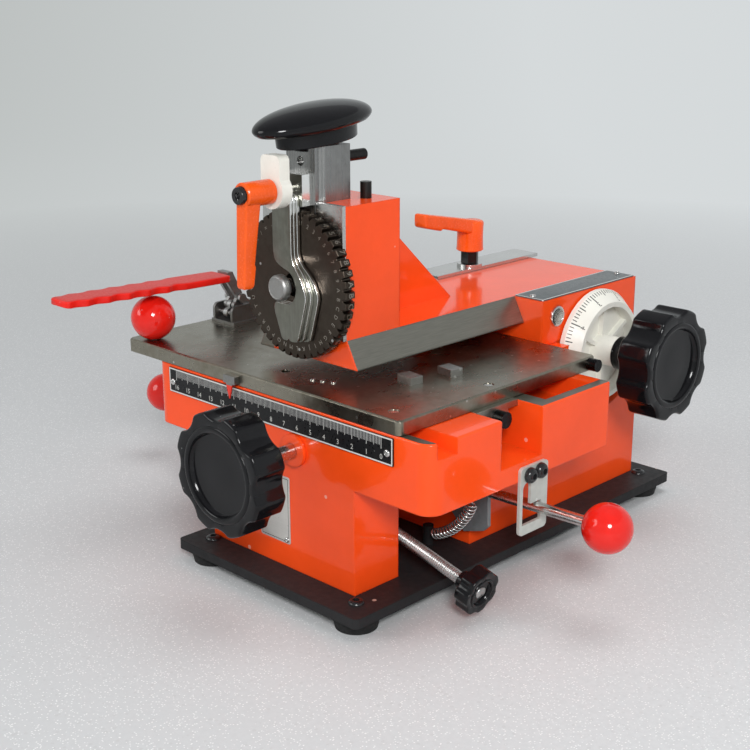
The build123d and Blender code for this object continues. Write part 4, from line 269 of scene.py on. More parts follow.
def helix_wire(centres, ahead, turns, radius, wire, count=10):
    """Rings of a coil wound round a curved line.

    A point of the wire's middle is the line's point plus radius times the radial vector
    cos(p) normal + sin(p) side, with p the turns so far; the wire's circle uses that radial
    vector and its cross product with the wire's own direction.
    """
    side = np.array((0.0, 1.0, 0.0))
    normal = np.cross(side, ahead)
    phase = (2 * np.pi * turns)[:, None]
    radial = np.cos(phase) * normal + np.sin(phase) * side
    middle = centres + radius * radial
    along = np.gradient(middle, axis=0)
    along /= np.linalg.norm(along, axis=1, keepdims=True)
    other = np.cross(along, radial)
    angle = around(count)[None, :, None]
    return middle[:, None] + wire * (np.cos(angle) * radial[:, None] + np.sin(angle) * other[:, None])


def word_points(text, height, deep):
    """Points and faces of a line of figures, centred, with capitals of a height and as deep as asked."""
    capital_share = 0.7  # height of a capital in a font of size one
    curve = bpy.data.curves.new("figures", "FONT")
    curve.body = text
    curve.size = height / capital_share
    curve.resolution_u = 2
    curve.extrude = deep / 2
    curve.align_x = curve.align_y = "CENTER"
    holder = bpy.data.objects.new("figures", curve)
    bpy.context.scene.collection.objects.link(holder)
    bpy.context.view_layer.update()
    mesh = bpy.data.meshes.new_from_object(holder)
    flat = np.zeros(len(mesh.vertices) * 3)
    mesh.vertices.foreach_get("co", flat)
    faces = [list(face.vertices) for face in mesh.polygons]
    bpy.data.objects.remove(holder)
    bpy.data.curves.remove(curve)
    bpy.data.meshes.remove(mesh)
    return flat.reshape(-1, 3), faces


def words_mesh(name, height, marks, deep=0.0):
    """One mesh of many lines of figures, each given as its text, its place and its axes."""
    points, faces, first = [], [], 0
    for text, origin, axes in marks:
        own, own_faces = word_points(text, height, deep)
        points.append(set_down(own, origin, axes))
        faces += [[first + corner for corner in face] for face in own_faces]
        first += len(own)
    mesh = bpy.data.meshes.new(name)
    mesh.from_pydata((np.concatenate(points) * MM).tolist(), [], faces)
    return mesh


# Shader nodes

def fill(node, **inputs):
    """Gives a node's inputs, each named or numbered as i0, i1 and so on, a value, a socket or a wire."""
    for key, value in inputs.items():
        socket = node.inputs[int(key[1:]) if key[1:].isdigit() else key.replace("_", " ")]
        value = value.socket if isinstance(value, Wire) else value
        if isinstance(value, bpy.types.NodeSocket):
            node.id_data.links.new(value, socket)
        else:
            socket.default_value = value


def add_node(tree, kind, settings=None, **inputs):
    """Node of a kind with its settings and inputs."""
    made = tree.nodes.new(kind)
    for key, value in (settings or {}).items():
        setattr(made, key, value)
    fill(made, **inputs)
    return made


def sums(operation, *values):
    """Wire out of one sum on numbers and wires."""
    tree = next(value for value in values if isinstance(value, Wire)).socket.id_data
    numbered = {f"i{place}": value for place, value in enumerate(values)}
    return Wire(add_node(tree, "ShaderNodeMath", {"operation": operation}, **numbered).outputs[0])


class Wire:
    """Output of a shader node; arithmetic and comparisons on it add the nodes that work them out."""

    def __init__(self, socket):
        self.socket = socket

    def __add__(self, other):
        return sums("ADD", self, other)

    def __sub__(self, other):
        return sums("SUBTRACT", self, other)

    def __rsub__(self, other):
        return sums("SUBTRACT", other, self)

    def __mul__(self, other):
        return sums("MULTIPLY", self, other)

    def __lt__(self, other):
        return sums("LESS_THAN", self, other)

    def __gt__(self, other):
        return sums("GREATER_THAN", self, other)

    def __or__(self, other):
        return sums("MAXIMUM", self, other)

    def __abs__(self):
        return sums("ABSOLUTE", self)

    def blend(self, first, second):
        """Colour between two colours, with this wire as the second one's share."""
        ends = [value if isinstance(value, Wire) else (*value[:3], 1.0) for value in (first, second)]
        made = add_node(self.socket.id_data, "ShaderNodeMix", {"data_type": "RGBA"}, i0=self, i6=ends[0], i7=ends[1])
        return Wire(made.outputs[2])

    def spread(self, low, high, to_low, to_high):
        """Value carried from one range to another, held at its ends."""
        made = add_node(self.socket.id_data, "ShaderNodeMapRange", {"clamp": True}, Value=self,
                        From_Min=low, From_Max=high, To_Min=to_low, To_Max=to_high)
        return Wire(made.outputs[0])


def split(vector):
    """Wires of a vector's X, Y and Z."""
    return [Wire(socket) for socket in add_node(vector.id_data, "ShaderNodeSeparateXYZ", Vector=vector).outputs]


def new_group(name, outputs, **inputs):
    """Empty node group on a vector, with named number outputs: its tree, what it is given and its results."""
    group = bpy.data.node_groups.new(name, "ShaderNodeTree")
    for label, value in {"Vector": (0, 0, 0), **inputs}.items():
        kind = "NodeSocketVector" if isinstance(value, tuple) else "NodeSocketFloat"
        group.interface.new_socket(label.replace("_", " "), in_out="INPUT", socket_type=kind).default_value = value
    for label in outputs:
        group.interface.new_socket(label, in_out="OUTPUT", socket_type="NodeSocketFloat")
    return group, group.nodes.new("NodeGroupInput").outputs, group.nodes.new("NodeGroupOutput")


def make_groups():
    """The three patterns that the materials share, each put out as numbers from 0 to 1."""
    # Broad and fine clouds over a surface
    group, given, result = new_group("surface_clouds", ("Broad", "Fine"), Broad_Scale=30.0, Fine_Scale=400.0)
    for label in ("Broad", "Fine"):
        noise = add_node(group, "ShaderNodeTexNoise", Vector=given["Vector"], Scale=given[label + " Scale"],
                         Detail=5.0, Roughness=0.6)
        fill(result, **{label: Wire(noise.outputs[0]).spread(0.3, 0.7, 0.0, 1.0)})
    # Lines of a ground or brushed face: noise drawn out along one direction
    group, given, result = new_group("ground_lines", ("Lines",), Stretch=(60, 2500, 2500))
    drawn = add_node(group, "ShaderNodeVectorMath", {"operation": "MULTIPLY"}, i0=given["Vector"], i1=given["Stretch"])
    noise = add_node(group, "ShaderNodeTexNoise", Vector=drawn.outputs[0], Scale=1.0, Detail=3.0)
    fill(result, Lines=Wire(noise.outputs[0]).spread(0.3, 0.7, 0.0, 1.0))
    # Scattered specks: a spot in a few of the cells of a point pattern
    group, given, result = new_group("specks", ("Mask",), Scale=220.0, Share=0.1, Size=0.22)
    cells = add_node(group, "ShaderNodeTexVoronoi", Vector=given["Vector"], Scale=given["Scale"]).outputs
    pick = add_node(group, "ShaderNodeSeparateColor", Color=cells["Color"])
    near = Wire(cells["Distance"]) < given["Size"]
    fill(result, Mask=near * (Wire(pick.outputs[0]) < given["Share"]))


def scaled(colour, share):
    """Colour made darker or lighter, held at one."""
    return tuple(min(1.0, channel * share) for channel in colour)


class Finish:
    """New material: its Principled shader, the object coordinates and the colour that it has so far."""

    def __init__(self, name):
        self.material = bpy.data.materials.new(name)
        self.material.use_nodes = True
        self.tree = self.material.node_tree
        self.shader = self.tree.nodes["Principled BSDF"]
        self.where = self.tree.nodes.new("ShaderNodeTexCoord").outputs["Object"]
        self.tone = None

    def group(self, name, **inputs):
        """Wires out of a node group on the object coordinates, with its own values."""
        pattern = {"node_tree": bpy.data.node_groups[name]}
        made = add_node(self.tree, "ShaderNodeGroup", pattern, Vector=self.where, **inputs)
        return [Wire(socket) for socket in made.outputs]

    def axes(self):
        """X, Y and Z of a point in millimetres."""
        return [part * 1000.0 for part in split(self.where)]

    def shade(self, tone=None, **inputs):
        """Gives the shader a colour and its other inputs."""
        if tone:
            self.tone = tone
            fill(self.shader, Base_Color=tone)
        fill(self.shader, **inputs)

    def bump(self, height, strength, distance, rounding=0.0):
        """Relief on the shader's normal, over edges rounded by a radius in millimetres."""
        bump = add_node(self.tree, "ShaderNodeBump", Height=height, Strength=strength, Distance=distance)
        if rounding:
            edge = add_node(self.tree, "ShaderNodeBevel", {"samples": 4}, Radius=rounding * MM)
            fill(bump, Normal=edge.outputs[0])
        self.shade(Normal=bump.outputs[0])


def paint(name, colour, rough, coat=0.5, rounding=1.2, specular=0.1):
    """Glossy paint on a casting: clouds in the colour, soft orange peel and a few pinholes."""
    finish = Finish(name)
    broad, fine = finish.group("surface_clouds", Broad_Scale=18.0, Fine_Scale=260.0)
    specks, = finish.group("specks", Scale=130.0, Share=0.05, Size=0.16)
    tone = broad.blend(scaled(colour, 0.9), tuple(min(1.0, c * 1.04 + 0.003) for c in colour))
    finish.shade((specks * 0.5).blend(tone, (0.9, 0.62, 0.5)),
                 Roughness=fine.spread(0, 1, rough * 0.85, rough * 1.2),
                 Specular_IOR_Level=specular, Coat_Weight=coat, Coat_Roughness=0.05)
    finish.bump(specks * -0.6 + fine, 0.12, 0.0004, rounding)
    return finish


def metal(name, colour, rough, stretch=900, stain=0.25, stain_colour=(0.2, 0.15, 0.08),
          rounding=0.3, relief=0.25, depth=0.86):
    """Bare metal: ground lines in the roughness and relief, clouds of oil or rust, and bright nicks."""
    finish = Finish(name)
    lines, = finish.group("ground_lines", Stretch=stretch if isinstance(stretch, tuple) else (stretch,) * 3)
    broad, fine = finish.group("surface_clouds", Broad_Scale=22.0, Fine_Scale=240.0)
    specks, = finish.group("specks", Scale=240.0, Share=0.06, Size=0.2)
    tone = (broad * fine * stain).blend(lines.blend(scaled(colour, depth), colour), stain_colour)
    finish.shade((specks * 0.5).blend(tone, (0.85, 0.85, 0.83)), Metallic=1.0,
                 Roughness=lines.spread(0, 1, rough * 0.8, rough * 1.15) + broad * 0.08)
    finish.bump(lines, relief, 0.0001, rounding)
    return finish


def plastic(name, colour, rough, coat=0.0, grain=0.06, variation=0.1, specular=0.3):
    """Moulded plastic: faint clouds in colour and gloss, dust, and a fine skin."""
    finish = Finish(name)
    broad, fine = finish.group("surface_clouds", Broad_Scale=60.0, Fine_Scale=700.0)
    specks, = finish.group("specks", Scale=330.0, Share=0.05, Size=0.13)
    tone = broad.blend(scaled(colour, 1 - variation), scaled(colour, 1 + variation))
    finish.shade((specks * 0.25).blend(tone, (0.6, 0.6, 0.6)),
                 Roughness=fine.spread(0, 1, rough * 0.8, rough * 1.3),
                 Specular_IOR_Level=specular, Coat_Weight=coat)
    finish.bump(fine, grain, 0.0001)
    return finish


def bare_where(finish, mask):
    """Shows machined metal instead of paint where the mask is one."""
    bare = (0.27, 0.26, 0.225)
    lines, = finish.group("ground_lines", Stretch=(90, 90, 2500))
    finish.shade(mask.blend(finish.tone, lines.blend(scaled(bare, 0.8), bare)), Metallic=mask,
                 Roughness=mask.spread(0, 1, 0.22, 0.36), Coat_Weight=mask.spread(0, 1, 0.5, 0.0))


# Sizes and colours that a user would change

SETTING_KINDS = {
    "colour": (bpy.props.FloatVectorProperty, {"size": 3, "min": 0.0, "max": 1.0, "subtype": "COLOR"}),
    "length": (bpy.props.FloatProperty, {"min": 0.0, "unit": "LENGTH", "subtype": "DISTANCE"}),
    "share": (bpy.props.FloatProperty, {"min": 0.0, "max": 1.0, "subtype": "FACTOR"}),
    "count": (bpy.props.IntProperty, {"min": 1}),
    "number": (bpy.props.FloatProperty, {"min": 0.0}),
    "power": (bpy.props.FloatProperty, {"min": 0.0, "unit": "POWER"}),
    "angle": (bpy.props.FloatProperty, {"subtype": "ANGLE"}),
    "place": (bpy.props.FloatVectorProperty, {"subtype": "TRANSLATION", "unit": "LENGTH"}),
    "text": (bpy.props.StringProperty, {}),
}


def setting(kind, label, description, default):
    """Setting of a kind, with what a user reads on it."""
    make, limits = SETTING_KINDS[kind]
    return make(name=label, description=description, default=default, **limits)


class MachineFinishes(bpy.types.PropertyGroup):
    """Colours and gloss of the machine's materials."""

    orange: setting("colour", "Orange paint", "Paint of the castings and the dome of the arm", (0.95, 0.078, 0.007))
    orange_gloss: setting("share", "Paint roughness", "Roughness of the orange paint", 0.20)
    black_paint: setting("colour", "Black paint", "Paint of the base plate", (0.018, 0.018, 0.019))
    knob_black: setting("colour", "Black knobs", "Plastic of the hand knobs and the palm handle", (0.006, 0.006, 0.007))
    dipped_red: setting("colour", "Red plastic", "Ball knobs and the dipped grip", (0.74, 0.014, 0.008))
    lever_orange: setting("colour", "Orange plastic", "Clamp levers", (0.85, 0.10, 0.008))
    ivory: setting("colour", "Ivory plastic", "Graduated dial and the spacer", (0.80, 0.79, 0.72))
    steel: setting("colour", "Ground steel", "Table, arm flanks and slide parts", (0.50, 0.50, 0.44))
    bright: setting("colour", "Bright steel", "Plated shafts, screws and levers", (0.66, 0.66, 0.65))
    wheel_steel: setting("colour", "Wheel steel", "Hardened letter wheel", (0.075, 0.06, 0.048))


class KnobShape(bpy.types.PropertyGroup):
    """Forms of the lobed hand knobs."""

    lobes: setting("count", "Lobes", "Lobes of the two large knobs", 8)
    swell: setting("number", "Knob size", "Size of the large knobs against the plain ones", 1.055)
    scallop: setting("length", "Scallop radius", "Radius of each hollow between two lobes", 0.013)
    depth: setting("length", "Scallop depth", "Depth of each hollow", 0.0032)
    small_lobes: setting("count", "Small lobes", "Lobes of the adjuster's knob", 7)
    small_scallop: setting("length", "Small scallop radius", "Radius of the adjuster knob's hollows", 0.005)
    small_depth: setting("length", "Small scallop depth", "Depth of the adjuster knob's hollows", 0.0012)


class ScaleMarks(bpy.types.PropertyGroup):
    """Marks of the ruler, the dial and the letter wheel."""

    first: setting("length", "Zero mark", "Place along X of the ruler's zero", 0.0713)
    top_figure: setting("count", "Last figure", "Last centimetre figure on the ruler", 16)
    figure: setting("length", "Figure height", "Height of the ruler's figures", 0.0027)
    dial_marks: setting("count", "Dial marks", "Marks round the dial", 100)
    dial_figure: setting("length", "Dial figure height", "Height of the dial's figures", 0.0031)
    characters: setting("text", "Wheel characters", "Characters round the letter wheel, one to a tooth",
                        "0123456789ABCDEFGHIJKLMNOPQRSTUVWXYZ+-/=.,")
    character: setting("length", "Character height", "Height of the characters on the wheel's side", 0.0023)


class StudioStage(bpy.types.PropertyGroup):
    """Floor, lamps and camera."""

    floor: setting("colour", "Floor", "Colour of the floor", (0.56, 0.57, 0.575))
    key: setting("power", "Key lamp", "Power of the key lamp", 24.0)
    fill: setting("power", "Fill lamp", "Power of the fill lamp", 8.0)
    world: setting("number", "Sky", "Strength of the even light all round", 0.38)
    azimuth: setting("angle", "Camera azimuth", "Turn of the camera round the machine", math.radians(44.786))
    elevation: setting("angle", "Camera elevation", "Height of the view above the horizon", math.radians(16.670))
    roll: setting("angle", "Camera roll", "Turn of the picture", math.radians(-0.227))
    lens: setting("number", "Lens", "Focal length on a 36 mm sensor", 62.89)
    place: setting("place", "Camera place", "Where the camera stands", (0.4830, -0.5486, 0.3149))


# Materials, each with the nodes that show it as they are

NODE_FINISHES = {
    "casting_orange": "main_casting", "housing_orange": "slide_housing front_shaft_bush",
    "arm_orange": "slide_arm", "satin_black": "base_plate", "foot_rubber": "rubber_feet",
    "plated_steel": "housing_plug clamp_strip front_shaft side_shaft ram_cover_plates axle_pin head_lever_stud "
                    "slide_lever_washer feed_lever_rod",
    "bearing_bronze": "side_shaft_bush front_pinion side_pinion",
    "black_steel": "knob_set_screws clamp_spindle top_screw ram_pin slide_lever_stud bracket_screws",
    "slide_steel": "slide_bar table_rack table_gibs arm_rack feed_yoke adjuster_lug",
    "clamp_steel": "stop_blocks clamp_bar clamp_link", "spring_steel": "ram_return_spring extension_spring",
    "table_steel": "table_plate", "fastener_steel": "table_fasteners", "pointer_steel": "pointer",
    "dark_clamp": "clamp_base", "clamp_grey": "clamp_handle", "ram_steel": "ram_block ram_nose",
    "holder_steel": "wheel_holder holder_spacer", "hardened_steel": "letter_wheel",
    "rocker_steel": "rocker_plate", "bracket_zinc": "lever_guide_bracket", "zinc_steel": "adjuster_rod",
    "knob_plastic": "front_knob side_knob palm_handle adjuster_knob", "red_dipped": "clamp_grip",
    "red_gloss": "table_ball_knob feed_lever_balls", "nylon_white": "nylon_spacer",
    "orange_moulded": "head_clamp_lever slide_clamp_lever", "ruler_scale": "ruler_plate",
    "dial_ivory": "graduated_dial",
}


class MACHINE_OT_finishes(bpy.types.Operator):
    """Builds the machine's materials and puts them on the frame's own nodes."""

    bl_idname = "machine.finishes"
    bl_label = "Finishes"

    def execute(self, context):
        looks = context.scene.machine_finishes
        make_groups()
        make_paints(looks)
        make_metals(looks)
        make_plastics(looks)
        ruler_field(context.scene.machine_marks)
        dial_face(context.scene.machine_marks, looks.ivory)
        for name, nodes in NODE_FINISHES.items():
            for node in nodes.split():
                shown = frame["nodes"][node]
                shown.data.materials.clear()
                shown.data.materials.append(bpy.data.materials[name])
        return {"FINISHED"}


def make_paints(looks):
    """The orange castings with their machined faces, and the black base."""
    casting = paint("casting_orange", looks.orange, looks.orange_gloss)
    x, y, z = casting.axes()
    top_face = (z > 106.1) * (y < 25.0)
    front_rim = y < -116.7
    middle_pad = abs(y + 32.4) < 4.9
    end_rim = (x > 96.6) * (y > -37.3)
    bare_where(casting, top_face * (front_rim | end_rim | middle_pad))
    paint("housing_orange", looks.orange, looks.orange_gloss, rounding=2.5)
    arm = paint("arm_orange", looks.orange, looks.orange_gloss)
    x, y, z = arm.axes()
    # The arm's half width falls from 37.5 at the foot of its flanks to 30 at their shoulder
    half_width = z.spread(122.3, 136.8, 37.5, 30.0)
    flanks = (abs(x - ARM_X) > half_width - 0.4) * (z < 136.9) * (y > -97.0)
    front_corner = (x < -34.0) * (z < 136.5) * (y < -97.0)
    bare_where(arm, flanks | front_corner)
    paint("satin_black", looks.black_paint, 0.5, 0.0, 0.8, 0.15)


def make_metals(looks):
    """The bare and plated steels."""
    steel, bright = looks.steel, looks.bright
    worn = tuple(channel * share for channel, share in zip(steel, (0.66, 0.62, 0.58)))
    metal("table_steel", worn, 0.26, (120, 60, 120), 0.7, (0.13, 0.10, 0.055), 0.5, 0.02, 0.9)
    metal("slide_steel", scaled(steel, 0.8), 0.36, (60, 1800, 1800), 0.4)
    metal("plated_steel", bright, 0.2, stain=0.12)
    metal("zinc_steel", scaled(bright, 0.8), 0.26, stain=0.1, stain_colour=(0.2, 0.2, 0.18))
    metal("clamp_steel", scaled(bright, 0.8), 0.3, (900, 60, 900), 0.2)
    metal("ram_steel", scaled(bright, 0.5), 0.26, (1500, 1500, 25), 0.35, (0.05, 0.045, 0.04))
    metal("dark_clamp", scaled(bright, 0.4), 0.4, 300, 0.4)
    metal("clamp_grey", scaled(bright, 0.6), 0.42, (900, 60, 900), 0.2)
    metal("spring_steel", scaled(bright, 1.05), 0.18, stain=0.1, rounding=0.0)
    metal("hardened_steel", looks.wheel_steel, 0.36, 300, 0.5, (0.03, 0.02, 0.015))
    metal("black_steel", (0.035, 0.035, 0.036), 0.3, stain=0.1)
    metal("bearing_bronze", (0.52, 0.30, 0.10), 0.3, stain=0.2)
    # Painted glint: the letter wheel's characters take a steel much lighter than the wheel's own
    metal("painted_glint_steel", (0.42, 0.38, 0.33), 0.3, 300, 0.3, rounding=0.0)
    metal("bracket_zinc", (0.62, 0.64, 0.60), 0.5, 300, 0.1, (0.4, 0.4, 0.36)).shade(Metallic=0.4)
    metal("rocker_steel", (0.25, 0.27, 0.28), 0.45, 300, 0.4, (0.08, 0.09, 0.09)).shade(Metallic=0.3)
    holder = metal("holder_steel", (0.25, 0.25, 0.215), 0.34, (1200, 1200, 90), 0.4, (0.08, 0.07, 0.05))
    facing = split(holder.tree.nodes.new("ShaderNodeNewGeometry").outputs["Normal"])[1]
    edge = abs(facing) < 0.75
    holder.shade(edge.blend(holder.tone, (0.92, 0.92, 0.90)), Roughness=edge.spread(0, 1, 0.34, 0.16))
    pointer = metal("pointer_steel", scaled(bright, 0.5), 0.34, stain=0.2)
    red_tip = pointer.axes()[2] < 106.3
    pointer.shade(red_tip.blend(pointer.tone, (0.75, 0.03, 0.012)), Metallic=1.0 - red_tip)
    fastener = metal("fastener_steel", bright, 0.22, stain=0.12)
    end_screw = fastener.axes()[0] > 80.0
    fastener.shade(end_screw.blend(fastener.tone, (0.02, 0.02, 0.021)))


def make_plastics(looks):
    """Knobs, grips, levers, figures and feet."""
    plastic("knob_plastic", looks.knob_black, 0.10, 0.0, 0.03, 0.2, 0.25)
    plastic("red_gloss", looks.dipped_red, 0.10, 0.3, 0.03, 0.06)
    dipped = plastic("red_dipped", looks.dipped_red, 0.34, 0.0, 0.15, 0.1)
    y, z = dipped.axes()[1:]
    slope = (GRIP_START[2] - GRIP_END[2]) / (GRIP_START[1] - GRIP_END[1])
    # The grip's top face, above a line 1.8 mm over its slope, is coloured half way to a darker red
    darker_top = z > y * slope + (GRIP_START[2] - GRIP_START[1] * slope + 1.8)
    dipped.shade((darker_top * 0.5).blend(dipped.tone, (0.42, 0.035, 0.03)))
    plastic("orange_moulded", looks.lever_orange, 0.24, 0.2, 0.08, 0.08)
    plastic("nylon_white", looks.ivory, 0.32, 0.0, 0.06, 0.05)
    plastic("foot_rubber", (0.012, 0.012, 0.012), 0.75, 0.0, 0.3, 0.3)
    plastic("socket_black", (0.012, 0.012, 0.013), 0.22, 0.0, 0.03, 0.1, 0.5)
    plastic("figure_white", (0.55, 0.55, 0.52), 0.4, 0.0, 0.02, 0.04)
    plastic("figure_black", (0.015, 0.015, 0.015), 0.4, 0.0, 0.02, 0.1)


def inside(first, second, low, high, inset):
    """Mask that is one inside a rectangle on two axes, at an inset from its edges."""
    return ((first > low[0] + inset) * (first < high[0] - inset)
            * ((second > low[1] + inset) * (second < high[1] - inset)))


def scale_lines(value, reached, sizes):
    """Mask of a scale's lines, from the pitch, reach and width of each kind of line."""
    marks = None
    for pitch, reach, width in sizes:
        mark = (sums("PINGPONG", value, pitch / 2) < width / 2) * reached(reach)
        marks = marks | mark if marks else mark
    return marks


def ruler_field(scale):
    """Black field with a thin white border and a millimetre scale hanging from its top edge."""
    ruler = plastic("ruler_scale", (0.010, 0.010, 0.011), 0.3, 0.0, 0.04, 0.2, 0.2)
    x, y, z = ruler.axes()
    low, high = node_box("ruler_plate")
    inset, line = 0.15, 0.75
    outer, inner = (inside(x, z, low[::2], high[::2], edge) for edge in (inset, inset + line))
    zero = scale.first / MM
    last = zero - 10 * scale.top_figure
    marks = scale_lines(zero - x, lambda reach: z > high[2] - inset - line - reach,
                        ((1.0, 4.0, 0.24), (5.0, 4.9, 0.28), (10.0, 5.8, 0.32)))
    span = (x < zero + 0.5) * (x > last - 0.5)
    ink = (marks * span * inner | outer - inner) * (y < low[1] + 0.05)
    ruler.shade(ink.blend(ruler.tone, (0.62, 0.62, 0.60)))


def dial_face(scale, ivory):
    """Ivory plastic with marks round the cone, longer at every fifth and tenth."""
    dial = plastic("dial_ivory", ivory, 0.34, 0.0, 0.06, 0.05)
    x, y, z = dial.axes()
    low, high = node_box("graduated_dial")
    middle = (low + high) / 2
    across, rise = y - middle[1], z - middle[2]
    turn = sums("ARCTAN2", rise, across) * (scale.dial_marks / TURN)
    away = sums("SQRT", across * across + rise * rise)
    start = DIAL_BACK + DIAL_RIM + 0.3
    marks = scale_lines(turn, lambda reach: x < start + reach,
                        ((1.0, 2.2, 0.26), (5.0, 3.4, 0.30), (10.0, 4.6, 0.34)))
    ink = marks * ((x > start) * (away > DIAL_CONE_RADIUS - 0.6))
    dial.shade(ink.blend(dial.tone, (0.03, 0.03, 0.03)))


# Pieces

def lobed(angle, radius, lobes, scallop, depth, sharpness=2.6):
    """Radius of a lobed outline at each angle.

    Each hollow is a circle whose centre lies outside the rim. The outline is the smooth
    lesser of the rim and the near side of that circle: -log(sum of exp(-k r)) / k.
    """
    step = 2 * np.pi / lobes
    turn = (angle + step / 2) % step - step / 2
    centre = radius + scallop - depth
    under = scallop**2 - (centre * np.sin(turn)) ** 2
    near = centre * np.cos(turn) - np.sqrt(np.maximum(under, 0.0))
    near = np.where(under > 0, near, radius + 8.0)
    return radius - np.log(np.exp(-sharpness * (near - radius)) + 1.0) / sharpness


def knob_points(radius, thick, lobing, dish, dish_depth, boss, boss_length, bead=1.6, count=320):
    """Rings of a lobed knob about its own axis, from the boss behind it to the floor of its dish.

    A ring at radius r is scaled by (lobed radius / rim radius) as far as its share of lobing
    says. The rows are a radius, a height and that share; lobing is the number of lobes with
    the radius and the depth of the hollows.
    """
    edge = 1.6 * radius / 31.5
    lip = thick - 0.35
    curve = list(zip(np.sin(quarter(6)), np.cos(quarter(6))))
    rows = [(0.0, -boss_length, 0.0), (boss - 0.4, -boss_length, 0.0), (boss, -boss_length + 0.5, 0.0),
            (boss, -0.2, 0.0), (boss + 0.8, 0.3, 0.0), (radius * 0.80, 0.0, 0.4)]
    rows += [(radius - edge + edge * s, edge - edge * c, 1.0) for s, c in curve]
    rows += [(radius, thick * t, 1.0) for t in (0.3, 0.6)]
    rows += [(radius - edge + edge * c, thick - edge + edge * s, 1.0) for s, c in curve]
    rows += [(dish + bead * 1.6, thick - 0.15, 0.35), (dish + bead, lip, 0.0)]
    rows += [(dish + bead * math.cos(a), lip + 0.6 * math.sin(a), 0.0) for a in np.linspace(0.3, np.pi - 0.2, 6)]
    rows += [(dish - bead * b, thick - dish_depth * d, 0.0) for b, d in ((1.1, 0.5), (1.8, 0.9), (3.2, 1.0))]
    rows += [(dish * 0.4, thick - dish_depth * 0.92, 0.0), (0.0, thick - dish_depth * 0.90, 0.0)]
    rows = np.array(rows)
    angle = around(count)
    factor = lobed(angle, radius, *lobing) / radius
    ring = rows[:, None, 0] * (1 + rows[:, None, 2] * (factor[None] - 1))
    height = np.broadcast_to(rows[:, None, 1], ring.shape)
    return np.stack((ring * np.cos(angle), ring * np.sin(angle), height), axis=-1)


class MACHINE_OT_knobs(bpy.types.Operator):
    """Lobed hand knobs on the front shaft, the side shaft and the depth adjuster."""

    bl_idname = "machine.knobs"
    bl_label = "Hand knobs"

    def execute(self, context):
        shape = context.scene.machine_knobs
        dish, dish_depth, boss, boss_start = 23.5, 3.0, 10.0, 17.5
        lobing = (shape.lobes, shape.scallop / MM, shape.depth / MM)
        knobs = []
        for node, side, outward, thick, wider, ahead in (
            ("front_knob", (1.0, 0, 0), (0, -1.0, 0), 19.0, 1.0, 0.5),
            ("side_knob", (0, 1.0, 0), (1.0, 0, 0), 21.0, 1.02, 0.0),
        ):
            low, high = node_box(node)
            outward = np.array(outward)
            along = abs((high - low) @ outward)
            radius = (high - low).max() / 2 * shape.swell * wider
            points = knob_points(radius, thick, lobing, dish, dish_depth, boss, along - boss_start)
            knobs.append((node, points, (low + high) / 2 + outward * (along / 2 + ahead - thick), side, outward))
        lobing = (shape.small_lobes, shape.small_scallop / MM, shape.small_depth / MM)
        points = knob_points(12.3, 8.6, lobing, 7.5, 1.6, 5.0, 6.0, bead=0.7, count=196)
        knobs.append(("adjuster_knob", points, ADJUSTER_END - ADJUSTER_WAY * 3.4, (0, 1.0, 0), ADJUSTER_WAY))
        for node, points, origin, side, outward in knobs:
            mesh = grid_mesh("lobed_" + node, points, origin, (side, np.cross(outward, side), outward))
            piece("lobed_" + node, mesh, "knob_plastic", "black_knob", node)
        return {"FINISHED"}


class MACHINE_OT_palm_handle(bpy.types.Operator):
    """Lens-shaped palm handle on the ram."""

    bl_idname = "machine.palm_handle"
    bl_label = "Palm handle"

    def execute(self, context):
        tilt = math.radians(5.9)
        axes = ((1, 0, 0), (0, math.cos(tilt), math.sin(tilt)), (0, -math.sin(tilt), math.cos(tilt)))
        half_width, half_length, dome_height = 20.0, 37.5, 9.2
        sizes = [(0.0, 0.0, -13.2, 0.0), (12.3, 12.3, -13.2, 0.0), (12.3, 12.3, -10.6, 0.0),
                 (14.9, 24.4, -10.6, 1.6), (15.3, 24.8, -10.2, 1.6), (15.5, 25.2, -3.4, 1.6)]
        lens = [(0.84, -3.4), (0.93, -2.8), (0.975, -1.6), (0.995, -0.6)]
        lens += [(math.cos(a) ** 0.95, dome_height * math.sin(a)) for a in quarter(22)[:-1]] + [(0.0, dome_height)]
        sizes += [(half_width * share, half_length * share, rise, 0.0) for share, rise in lens]
        mesh = grid_mesh("palm_lens", ovals(sizes, 128), (ARM_X, -90.5, 245.4), axes)
        piece("palm_lens", mesh, "knob_plastic", "black_knob", "palm_handle")
        return {"FINISHED"}


def ball_points(radius, flat):
    """Rings of a ball knob with a flat foot: a circle's arc turned about its axis."""
    bend = np.linspace(math.asin(flat / radius), np.pi, 40)
    profile = np.stack((radius * np.sin(bend), -radius * np.cos(bend)), -1)
    profile[-1, 0] = 0.0
    foot = profile[0, 1] + 0.6
    return turned(np.concatenate((((0.0, foot), (flat * 0.8, foot)), profile)))


class MACHINE_OT_balls(bpy.types.Operator):
    """Red ball knobs on the table and on both ends of the feed lever."""

    bl_idname = "machine.balls"
    bl_label = "Ball knobs"

    def execute(self, context):
        x, y, radius = -121.7, -113.2, 12.9
        ball = grid_mesh("table_ball", ball_points(radius, 3.6), (x, y, TABLE_TOP + 12.6))
        piece("table_ball", ball, "red_gloss", "red_plastic", "table_ball_knob")
        stud = grid_mesh("table_ball_stud", turned(rounded(3.0, 6.0, 0.2), 32), (x, y, TABLE_TOP - 4.0))
        piece("table_ball_stud", stud, "plated_steel", "bright_steel", "table_ball_knob", replaces=False)
        way = np.array((math.cos(LEVER_TILT), 0, math.sin(LEVER_TILT)))
        side, ball = (0, 1.0, 0), ball_points(radius, 3.4)
        balls = [
            grid_mesh("ball", ball, LEVER_MIDDLE + way * reach, (side, np.cross(outward, side), outward))
            for reach, outward in ((158.05, way), (-200.4, -way))
        ]
        piece("lever_balls", balls, "red_gloss", "red_plastic", "feed_lever_balls")
        return {"FINISHED"}


